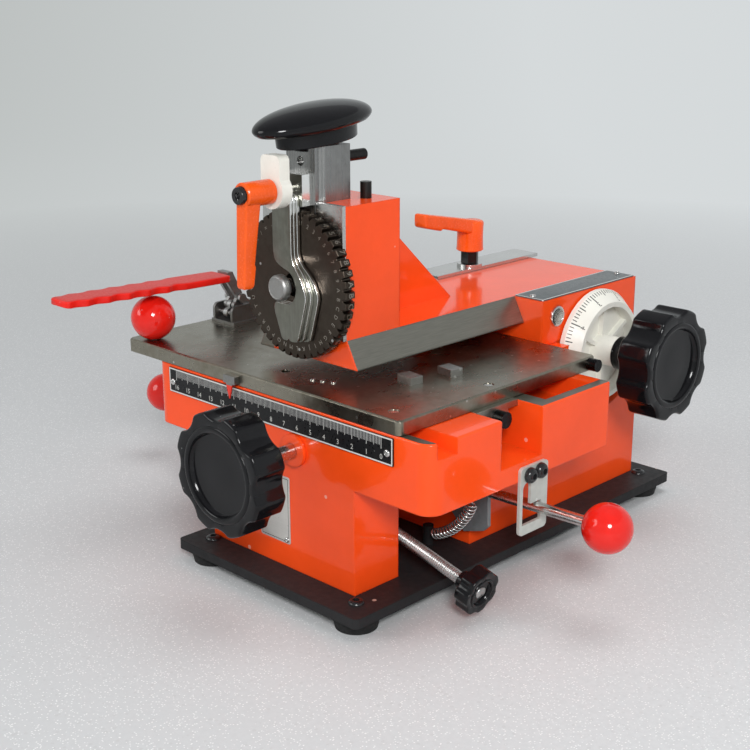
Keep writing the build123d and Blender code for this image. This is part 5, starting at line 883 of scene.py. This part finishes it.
def moulded_lever(name, node, hub, place, axes, ends, width, thick, notch, start, way, inward, power):
    """Moulded lever: a turned hub, and an arm that starts near it and narrows and thins evenly.

    At a share of its way the arm is width[0] - width[1] share wide. Its thickness falls the same
    way and rises by the notch's height over a short run; it lies inwards of the line from the start.
    """
    share, drawn = drawn_in(*ends, 40, 7, 0.5)
    notch_at, notch_run, notch_rise = notch
    deep = thick[0] - thick[1] * share + np.clip((share - notch_at) / notch_run, 0, 1) * notch_rise
    centres = np.array(start) + share[:, None] * way + deep[:, None] / 2 * inward
    arm = section_path(centres, (width[0] - width[1] * share) * drawn, deep * drawn, np.abs(inward), power, 48)
    parts = [grid_mesh("hub", turned(hub, 56), place, axes), grid_mesh("arm", arm)]
    piece(name, parts, "orange_moulded", "orange_plastic", node)


class MACHINE_OT_levers(bpy.types.Operator):
    """Moulded orange clamp levers on the wheel holder and on the slide housing."""

    bl_idname = "machine.levers"
    bl_label = "Clamp levers"

    def execute(self, context):
        # On the wheel holder: a hub towards the front, an arm that hangs down, and a cap screw
        hub_height, front = 213.0, -139.3
        back = node_box("head_clamp_lever")[1][1]
        long = back - front
        hub = [(0.0, 0.0), (5.6, 0.0), (6.3, 0.7), (6.3, long - 0.8), (5.7, long - 0.1), (4.7, long), (4.6, long - 1.6),
               (0.0, long - 1.6)]
        moulded_lever("head_lever_moulding", "head_clamp_lever", hub, (ARM_X, back, hub_height), FORWARD,
                      (0.04, 0.05), (8.7, 2.6), (10.5, 4.6), (0.77, 0.02, 0.9),
                      start=(ARM_X, front + 0.2, 218.2), way=(0, -2.6, -52.2), inward=np.array((0, 1, 0)), power=9.0)
        cap = [(0.0, 0.0), (4.2, 0.0), (4.4, 0.2), (4.4, 3.6), (4.1, 4.0), (2.3, 4.0), (2.1, 3.8), (2.0, 1.8),
               (0.0, 1.5)]
        cap = grid_mesh("lever_cap_screw", turned(cap, 40), (ARM_X, front + 1.4, hub_height), FORWARD)
        piece("lever_cap_screw", cap, "socket_black", "dark_steel", "head_clamp_lever", replaces=False)
        # On the slide housing: an upright hub, and an arm that reaches forward and rises
        x, y, top = -45.0, 77.8, 168.3
        foot = node_box("slide_clamp_lever")[0][2]
        tall = top - foot
        hub = [(0.0, 0.0), (8.0, 0.0), (8.6, 0.6), (8.4, 2.0), (8.2, tall * 0.5), (8.5, tall - 1.4), (7.9, tall - 0.4),
               (6.9, tall), (0.0, tall)]
        moulded_lever("slide_lever_moulding", "slide_clamp_lever", hub, (x, y, foot), UPWARD,
                      (0.05, 0.06), (13.6, 3.6), (9.6, 2.4), (0.68, 0.03, 1.4),
                      start=(x, y + 4.0, top - 0.1), way=(0, -52.0, 10.2), inward=np.array((0, 0, -1)), power=7.0)
        return {"FINISHED"}


GRIP_START, GRIP_END = np.array((-120.2, -62.2, 143.0)), np.array((-120.2, -177.0, 146.5))


class MACHINE_OT_grip(bpy.types.Operator):
    """Dipped grip of the toggle clamp with finger hollows along both edges."""

    bl_idname = "machine.grip"
    bl_label = "Clamp grip"

    def execute(self, context):
        share, drawn = drawn_in(0.02, 0.04, 110, 9, 0.4)
        hollows, first_hollow, hollow_depth, thick = 6, 0.3, 2.0, 4.4
        waves = np.clip((share - first_hollow) / (1 - first_hollow), 0, 1) * hollows
        hollow = np.where(share > first_hollow, np.sin(np.pi * (waves % 1.0)) ** 1.4, 0.0) * hollow_depth
        swelling = 2.8 * np.sin(np.pi * share.clip(0, 0.7) / 1.4) - 1.5 * np.clip(share - 0.7, 0, 1) / 0.3
        width = 18.4 + swelling - 2 * hollow
        reach = GRIP_END - GRIP_START
        up = -np.cross((1.0, 0, 0), reach / np.linalg.norm(reach))
        rows = section_path(GRIP_START + share[:, None] * reach, width * drawn, thick * drawn, up, 8.0, 64)
        piece("dipped_grip", grid_mesh("dipped_grip", rows), "red_dipped", "red_plastic", "clamp_grip")
        return {"FINISHED"}


class MACHINE_OT_threads(bpy.types.Operator):
    """Threaded rod of the depth adjuster."""

    bl_idname = "machine.threads"
    bl_label = "Threaded rod"

    def execute(self, context):
        side = (0, 1.0, 0)
        length, pitch, radius, deep, behind_knob = 107.0, 1.25, 3.5, 0.62, 102.6
        height = np.linspace(0, length, int(length / pitch * 6))[:, None]
        angle = around(24)
        turn = (height / pitch - angle / (2 * np.pi)) % 1.0
        ring = radius - deep * np.abs(2 * turn - 1) ** 0.8
        ring[:3] *= np.array((0.0, 0.8, 0.92))[:, None]
        ring[-1] = 0.0
        points = np.stack((ring * np.cos(angle), ring * np.sin(angle), np.broadcast_to(height, ring.shape)), -1)
        mesh = grid_mesh("threaded_rod", points, ADJUSTER_END - ADJUSTER_WAY * behind_knob,
                         (side, np.cross(ADJUSTER_WAY, side), ADJUSTER_WAY), sharp=60.0)
        piece("threaded_rod", mesh, "zinc_steel", "bright_steel", "adjuster_rod")
        return {"FINISHED"}


class MACHINE_OT_spring(bpy.types.Operator):
    """Extension spring of the feed gear: a close coil on an arc through three points."""

    bl_idname = "machine.spring"
    bl_label = "Extension spring"

    def execute(self, context):
        turns, steps, coil_radius, wire_radius, y = 16, 22, 2.8, 0.58, -47.2
        low, mid, high = (np.array(p) for p in ((38.0, 19.2), (56.3, 30.6), (65.6, 45.4)))
        sides = np.array((mid - low, high - low)) * 2
        centre = np.linalg.solve(sides, np.array((mid @ mid - low @ low, high @ high - low @ low)))
        reach = np.linalg.norm(low - centre)
        first, last = (math.atan2(p[1] - centre[1], p[0] - centre[0]) for p in (low, high))
        share = np.linspace(0, 1, turns * steps + 1)
        angle = first + share * (last - first)
        way = np.sign(last - first)
        x, z = centre[0] + reach * np.cos(angle), centre[1] + reach * np.sin(angle)
        centres = np.stack((x, np.full_like(angle, y), z), -1)
        ahead = np.stack((-np.sin(angle) * way, np.zeros_like(angle), np.cos(angle) * way), -1)
        rows = helix_wire(centres, ahead, share * turns, coil_radius, wire_radius)
        mesh = grid_mesh("wound_spring", rows, sharp=70.0)
        piece("wound_spring", mesh, "spring_steel", "bright_steel", "extension_spring")
        return {"FINISHED"}


def wheel_marks(characters, middle, radius, start, facing_front):
    """A character to each tooth, at a radius round the wheel's middle, read from the front or from outside.

    The start is how many teeth the first one lies on from the top.
    """
    marks = []
    for place in range(TEETH):
        angle = TURN * (place + start) / TEETH
        side = np.array((math.cos(angle), 0, -math.sin(angle)))
        out = np.array((math.sin(angle), 0, math.cos(angle)))
        axes = (side, out, (0, -1, 0)) if facing_front else (side, (0, 1, 0), out)
        marks.append((characters[place % len(characters)], middle + out * radius, axes))
    return marks


class MACHINE_OT_letter_wheel(bpy.types.Operator):
    """Letter wheel with a raised character on every tooth, and its axle's head."""

    bl_idname = "machine.letter_wheel"
    bl_label = "Letter wheel"

    def execute(self, context):
        low, high = node_box("letter_wheel")
        x, z = WHEEL_AXIS
        bore, root, tooth_height, edge = 6.2, WHEEL_RADIUS - 2.3, 2.2, 0.35
        angle = around(TEETH * 14)
        phase = np.abs((angle * TEETH / (2 * np.pi)) % 1.0 - 0.5) * 2
        tooth = np.clip((phase - 0.16) / 0.24, 0, 1)
        rim = root + tooth_height * (tooth * tooth * (3 - 2 * tooth))
        thick = high[1] - low[1]
        inner = np.full_like(rim, bore)
        levels = ((inner, 0.0), (rim - edge, 0.0), (rim, edge), (rim, thick - edge), (rim - edge, thick),
                  (inner, thick), (inner, 0.0))
        rows = [np.stack((ring * np.cos(angle), ring * np.sin(angle), np.full_like(rim, height)), -1)
                for ring, height in levels]
        mesh = grid_mesh("toothed_wheel", np.array(rows), (x, high[1], z), FORWARD, ends=False)
        piece("toothed_wheel", mesh, "hardened_steel", "dark_steel", "letter_wheel")
        middle = np.array((x, (low[1] + high[1]) / 2, z))
        characters = context.scene.machine_marks.characters
        marks = wheel_marks(characters, middle, WHEEL_RADIUS - 0.05, 0, False)
        mesh = words_mesh("tooth_characters", 3.3, marks, deep=0.6)
        # The raised characters are coloured lighter than the wheel, as painted glint
        piece("tooth_characters", mesh, "painted_glint_steel", "dark_steel", "letter_wheel", replaces=False)
        head = [(0.0, 0.0), (6.4, 0.0), (6.8, 0.4), (6.8, 3.4), (6.3, 4.4), (5.5, 4.9), (5.3, 4.7), (0.0, 4.6)]
        front = node_box("axle_pin")[0][1]
        mesh = grid_mesh("axle_head", turned(head, 48), (x, front + 4.4, z), FORWARD)
        piece("axle_head", mesh, "clamp_grey", "bright_steel", "axle_pin", replaces=False)
        return {"FINISHED"}


def hook_outline(wide):
    """Closed outline of a holder plate: a neck, a flare as wide as asked, and a round seat open to the left."""
    arc = np.linspace(np.pi, 0, 13)
    top = np.stack((-0.25 + 6.85 * np.cos(arc), 42.9 + 6.9 * np.sin(arc)), -1)
    right = ((6.6, 24.0), (6.7, 14.0), (wide * 0.81, 5.7), (wide * 0.99, -1.8), (wide, -5.3), (wide - 5.6, -24.5),
             (wide - 6.8, -28.0), (4.4, -28.2), (3.6, -26.6), (2.6, -28.2), (-1.5, -28.0), (-2.7, -24.5), (-8.9, -8.4))
    bend = np.radians(np.linspace(-62.0, 62.0, 15))
    seat = np.stack((9.6 * np.cos(bend), 9.6 * np.sin(bend)), -1)
    left = ((-4.7, 11.8), (-7.1, 16.0), (-7.1, 30.0))
    return cornered(np.concatenate((top, right, ((1.2, -8.7),), seat, left)))


class MACHINE_OT_wheel_holder(bpy.types.Operator):
    """Wheel holder: three hooked plates side by side."""

    bl_idname = "machine.wheel_holder"
    bl_label = "Wheel holder"

    def execute(self, context):
        low, high = node_box("wheel_holder")
        widths, gap, corner = (16.8, 18.4, 21.2), 0.06, 0.35
        thick = (high[1] - low[1]) / len(widths)
        plates = [
            grid_mesh("plate", slab(hook_outline(wide), gap, thick - gap, corner),
                      (WHEEL_AXIS[0], low[1] + thick * (order + 1), WHEEL_AXIS[1]), FORWARD)
            for order, wide in enumerate(widths)
        ]
        piece("hooked_plates", plates, "holder_steel", "bright_steel", "wheel_holder")
        return {"FINISHED"}


def bordered_plate(name, low, high, forward, face, thick, field, ink, inset, line, metallic, slot, node):
    """Thin bare plate that faces forward or up, with rounded corners and a border line.

    Its low and high corners lie in its own plane, and face is that plane's place on the third axis.
    """
    (across, along), size = (np.array(low) + high) / 2, np.array(high) - low
    rows = slab(box_outline(*size, 1.2), 0.0, thick, min(0.2, thick / 3))
    origin, axes = ((across, face, along), FORWARD) if forward else ((across, along, face), UPWARD)
    mesh = grid_mesh(name, rows, origin, axes)
    plate = Finish(name + "_face")
    x, y, z = plate.axes()
    up = z if forward else y
    broad, fine = plate.group("surface_clouds", Broad_Scale=40.0, Fine_Scale=500.0)
    grain, = plate.group("ground_lines", Stretch=(80, 80, 2500) if forward else (80, 2500, 80))
    tone = (grain * 0.25).blend(broad.blend(scaled(field, 0.85), scaled(field, 1.1)), scaled(field, 0.7))
    border = inside(x, up, low, high, inset) - inside(x, up, low, high, inset + line)
    plate.shade(border.blend(tone, ink), Roughness=fine.spread(0, 1, 0.26, 0.42), Metallic=metallic)
    plate.bump(grain, 0.08, 0.0001)
    piece(name, mesh, plate.material.name, slot, node, replaces=False)


def screw_heads(name, places, radius, rise, axes, material, slot, node):
    """Low round screw heads with a socket, at several places."""
    profile = [(0.0, 0.0), (1.0, 0.0), (1.0, 0.35), (0.86, 0.75), (0.55, 1.0), (0.42, 0.98), (0.36, 0.45), (0.0, 0.35)]
    head = turned([(radius * r, rise * h) for r, h in profile], 24)
    heads = [grid_mesh("head", head, place, axes) for place in places]
    piece(name, heads, material, slot, node, replaces=False)


class MACHINE_OT_plates(bpy.types.Operator):
    """Bare front plate, bare plate on the housing, and the small screws of the plates and the ruler."""

    bl_idname = "machine.plates"
    bl_label = "Plates and small screws"

    def execute(self, context):
        front_thick, housing_thick = 0.45, 0.8
        bordered_plate("front_plate", (-19.7, 26.0), (3.8, 64.0), True, FRONT_Y, front_thick,
                       (0.60, 0.59, 0.56), (0.03, 0.03, 0.03), 1.1, 0.35, 0.35, "bright_steel", "main_casting")
        bordered_plate("housing_plate", (21.6, 39.9), (42.2, 132.4), False, HOUSING_TOP, housing_thick,
                       (0.10, 0.115, 0.12), (0.55, 0.56, 0.55), 0.1, 1.0, 0.2, "ruler_black", "slide_housing")
        small = ("plated_steel", "bright_steel")
        places = [(1.4, FRONT_Y - front_thick, 28.4)]
        screw_heads("front_plate_screw", places, 1.6, 0.9, FORWARD, *small, "main_casting")
        places = [(31.9, y, HOUSING_TOP + housing_thick) for y in (43.6, 128.8)]
        screw_heads("housing_plate_screws", places, 2.0, 1.1, UPWARD, *small, "slide_housing")
        low, high = node_box("base_plate")
        inset = 14.0
        places = [(x, y, BASE_TOP - 0.6) for x in (low[0] + inset, high[0] - inset)
                  for y in (low[1] + inset, high[1] - inset)]
        screw_heads("foot_screw_heads", places, 4.3, 2.4, UPWARD, "socket_black", "dark_steel", "base_plate")
        low, high = node_box("ruler_plate")
        places = [(x, low[1], (low[2] + high[2]) / 2 - 1.0) for x in (low[0] + 3.6, high[0] - 3.6)]
        screw_heads("ruler_screws", places, 1.9, 0.9, FORWARD, *small, "ruler_plate")
        dome = [(0.0, -6.0), (2.4, -6.0), (2.4, 0.0), (3.9, 0.0), (4.2, 0.4), (4.2, 1.4), (3.8, 2.5), (3.0, 3.3),
                (2.1, 3.7), (1.6, 3.7), (1.3, 2.4), (0.0, 2.3)]
        heads = [grid_mesh("head", turned(dome, 36), (104.4, y - 0.8, z), SIDEWAYS) for y, z in BRACKET_SCREWS]
        piece("domed_bracket_screws", heads, "socket_black", "dark_steel", "bracket_screws")
        plug = [(0.0, 0.0), (3.0, 0.0), (5.9, 0.0), (5.9, 0.9), (5.2, 1.2), (4.4, 1.25), (4.0, 0.6), (2.6, 0.6),
                (2.3, 1.0), (1.6, 1.0), (1.3, 0.3), (0.0, 0.2)]
        mesh = grid_mesh("plug_face", turned(plug, 48), (42.7, 53.3, 126.0), SIDEWAYS)
        piece("plug_face", mesh, *small, "housing_plug", replaces=False)
        return {"FINISHED"}


class MACHINE_OT_figures(bpy.types.Operator):
    """Figures of the ruler and the dial, and the characters on the letter wheel's side."""

    bl_idname = "machine.figures"
    bl_label = "Figures"

    def execute(self, context):
        scale = context.scene.machine_marks
        proud = 0.03
        low, _ = node_box("ruler_plate")
        marks = [(str(number), (scale.first / MM - 10.0 * number, low[1] - proud, low[2] + 3.3), FORWARD)
                 for number in range(scale.top_figure + 1)]
        mesh = words_mesh("ruler_figures", scale.figure / MM, marks)
        piece("ruler_figures", mesh, "figure_white", "ruler_black", "ruler_plate", replaces=False)
        slope = math.atan2(DIAL_RADIUS - DIAL_CONE_RADIUS, DIAL_FRONT - DIAL_BACK - DIAL_RIM)
        up_cone = 6.4
        at = DIAL_BACK + DIAL_RIM + up_cone
        radius = DIAL_RADIUS - up_cone * math.tan(slope) + 0.05
        low, high = node_box("graduated_dial")
        centre = np.array((at, *((low + high) / 2)[1:]))
        marks = []
        for tenth in range(10):
            angle = TURN * tenth / 10
            out = np.array((0, math.cos(angle), math.sin(angle)))
            round_way = np.array((0, -math.sin(angle), math.cos(angle)))
            down_cone = out * math.sin(slope) - np.array((math.cos(slope), 0, 0))
            marks.append((str(tenth), centre + out * radius, (round_way, down_cone, np.cross(round_way, down_cone))))
        mesh = words_mesh("dial_figures", scale.dial_figure / MM, marks)
        piece("dial_figures", mesh, "figure_black", "white_plastic", "graduated_dial", replaces=False)
        low, high = node_box("letter_wheel")
        middle = (low + high) / 2
        middle[1] = low[1] - proud
        marks = wheel_marks(scale.characters, middle, 33.6, 0.5, True)
        mesh = words_mesh("wheel_characters", scale.character / MM, marks)
        # The side characters share that lighter steel, as painted glint
        piece("wheel_characters", mesh, "painted_glint_steel", "dark_steel", "letter_wheel", replaces=False)
        return {"FINISHED"}


def make_floor(colour):
    """Round floor that curves up into a backdrop, which the camera sees in a light of its own; floor and backdrop are
    painted lighter towards the right.
    """
    reach, bend_radius, top = 1900.0, 900.0, 2200.0
    profile = [(0.0, 0.0), (900.0, 0.0), (reach, 0.0)]
    profile += [(reach + bend_radius * math.sin(a), bend_radius - bend_radius * math.cos(a)) for a in quarter(16)[1:]]
    profile += [(reach + bend_radius, top)]
    mesh = grid_mesh("floor", turned(profile, 128), ends=False)
    mesh.flip_normals()
    floor = bpy.data.objects.new("floor", mesh)
    bpy.context.scene.collection.objects.link(floor)
    sheet = Finish("floor_sheet")
    bright, = sheet.group("specks", Scale=800.0, Share=0.4, Size=0.3)
    dull, = sheet.group("specks", Scale=330.0, Share=0.2, Size=0.3)
    fine = sheet.group("surface_clouds", Broad_Scale=3.0, Fine_Scale=350.0)[1]
    # Painted light: the floor's colour grows lighter towards the right of the picture
    to_right = (0.71, 0.704, 0.0)
    dot = add_node(sheet.tree, "ShaderNodeVectorMath", {"operation": "DOT_PRODUCT"}, i0=sheet.where, i1=to_right)
    right = Wire(dot.outputs["Value"])
    tone = right.spread(-0.2, 0.3, 0.0, 1.0).blend(scaled(colour, 1.03), scaled(colour, 1.22))
    tone = (fine * 0.5).blend(tone, scaled(colour, 0.95))
    tone = (dull * 0.12).blend(tone, (0.35, 0.33, 0.31))
    sheet.shade((bright * 0.6).blend(tone, (0.95, 0.95, 0.94)), Roughness=0.7)
    sheet.bump(fine, 0.05, 0.0003)
    # Further out it takes the backdrop's own light, wherever it is seen and not only lit; that light too is painted
    # lighter towards the right of the picture
    rays = sheet.tree.nodes.new("ShaderNodeLightPath").outputs
    seen = Wire(rays["Is Camera Ray"]) | Wire(rays["Is Glossy Ray"]) | Wire(rays["Is Transmission Ray"])
    away = add_node(sheet.tree, "ShaderNodeVectorMath", {"operation": "LENGTH"}, i0=sheet.where)
    far = Wire(away.outputs["Value"]).spread(0.45, 1.25, 0.0, 1.0)
    shade = right.spread(-0.9, 0.35, 0.0, 1.0).blend((0.51, 0.535, 0.53), (0.67, 0.70, 0.71))
    glow = add_node(sheet.tree, "ShaderNodeEmission", Color=shade, Strength=1.0)
    both = add_node(sheet.tree, "ShaderNodeMixShader", i0=seen * far, i1=sheet.shader.outputs[0], i2=glow.outputs[0])
    fill(sheet.tree.nodes["Material Output"], Surface=both.outputs[0])
    mesh.materials.append(sheet.material)


class MACHINE_OT_stage(bpy.types.Operator):
    """Round floor that curves up into a backdrop, lamps and the camera."""

    bl_idname = "machine.stage"
    bl_label = "Stage"

    def execute(self, context):
        scene = context.scene
        studio = scene.machine_stage
        make_floor(studio.floor)
        for name, place, size, power in (
            ("key_lamp", (1.2, -1.1, 1.0), 0.5, studio.key), ("fill_lamp", (-0.9, -1.4, 0.9), 0.9, studio.fill),
            ("top_lamp", (0.2, 0.3, 1.8), 1.1, studio.key * 0.42),
        ):
            lamp = bpy.data.lights.new(name, "AREA")
            lamp.shape = "DISK"
            lamp.size = size
            lamp.energy = power
            holder = bpy.data.objects.new(name, lamp)
            scene.collection.objects.link(holder)
            holder.location = place
            holder.visible_glossy = name != "top_lamp"
            aim = Vector((-0.02, -0.02, 0.1)) - Vector(place)
            holder.rotation_euler = aim.to_track_quat("-Z", "Y").to_euler()
        scene.world = bpy.data.worlds.new("sky")
        scene.world.use_nodes = True
        fill(scene.world.node_tree.nodes["Background"], Color=(0.95, 0.97, 1.0, 1.0), Strength=studio.world)
        camera = bpy.data.objects.new("camera", bpy.data.cameras.new("camera"))
        scene.collection.objects.link(camera)
        scene.camera = camera
        camera.data.sensor_width = 36.0
        camera.data.lens = studio.lens
        camera.data.shift_x, camera.data.shift_y = 0.0131, -0.0074
        camera.data.clip_start, camera.data.clip_end = 0.01, 20.0
        turn, rise, roll = studio.azimuth, studio.elevation, studio.roll
        ahead = Vector((-math.sin(turn) * math.cos(rise), math.cos(turn) * math.cos(rise), -math.sin(rise)))
        level = Vector((math.cos(turn), math.sin(turn), 0))
        above = level.cross(ahead)
        right = level * math.cos(roll) + above * math.sin(roll)
        over = above * math.cos(roll) - level * math.sin(roll)
        facing = Matrix((right, over, -ahead)).transposed().to_4x4()
        camera.matrix_world = Matrix.Translation(Vector(studio.place)) @ facing
        scene.view_settings.view_transform = "Standard"
        return {"FINISHED"}


OPERATORS = (
    MACHINE_OT_finishes, MACHINE_OT_stage, MACHINE_OT_knobs, MACHINE_OT_palm_handle, MACHINE_OT_balls,
    MACHINE_OT_levers, MACHINE_OT_grip, MACHINE_OT_threads, MACHINE_OT_spring, MACHINE_OT_letter_wheel,
    MACHINE_OT_wheel_holder, MACHINE_OT_plates, MACHINE_OT_figures,
)

SETTINGS = {
    "machine_finishes": MachineFinishes,
    "machine_knobs": KnobShape,
    "machine_marks": ScaleMarks,
    "machine_stage": StudioStage,
}


class MACHINE_PT_sidebar(bpy.types.Panel):
    """Lists the settings and the steps."""

    bl_idname = "MACHINE_PT_sidebar"
    bl_label = "Marking machine"
    bl_space_type = "VIEW_3D"
    bl_region_type = "UI"
    bl_category = "Machine"

    def draw(self, context):
        for holder in SETTINGS:
            settings = getattr(context.scene, holder)
            column = self.layout.column()
            for name in settings.bl_rna.properties.keys():
                if name not in {"rna_type", "name"}:
                    column.prop(settings, name)
        for step in OPERATORS:
            self.layout.operator(step.bl_idname)


def register():
    for name, group in SETTINGS.items():
        bpy.utils.register_class(group)
        setattr(bpy.types.Scene, name, bpy.props.PointerProperty(type=group))
    for item in (*OPERATORS, MACHINE_PT_sidebar):
        bpy.utils.register_class(item)


def unregister():
    for item in reversed((*OPERATORS, MACHINE_PT_sidebar)):
        bpy.utils.unregister_class(item)
    for name, group in SETTINGS.items():
        delattr(bpy.types.Scene, name)
        bpy.utils.unregister_class(group)


def main():
    """Makes the whole machine and its stage."""
    register()
    for step in OPERATORS:
        family, name = step.bl_idname.split(".")
        getattr(getattr(bpy.ops, family), name)()


if __name__ == "__main__":
    main()
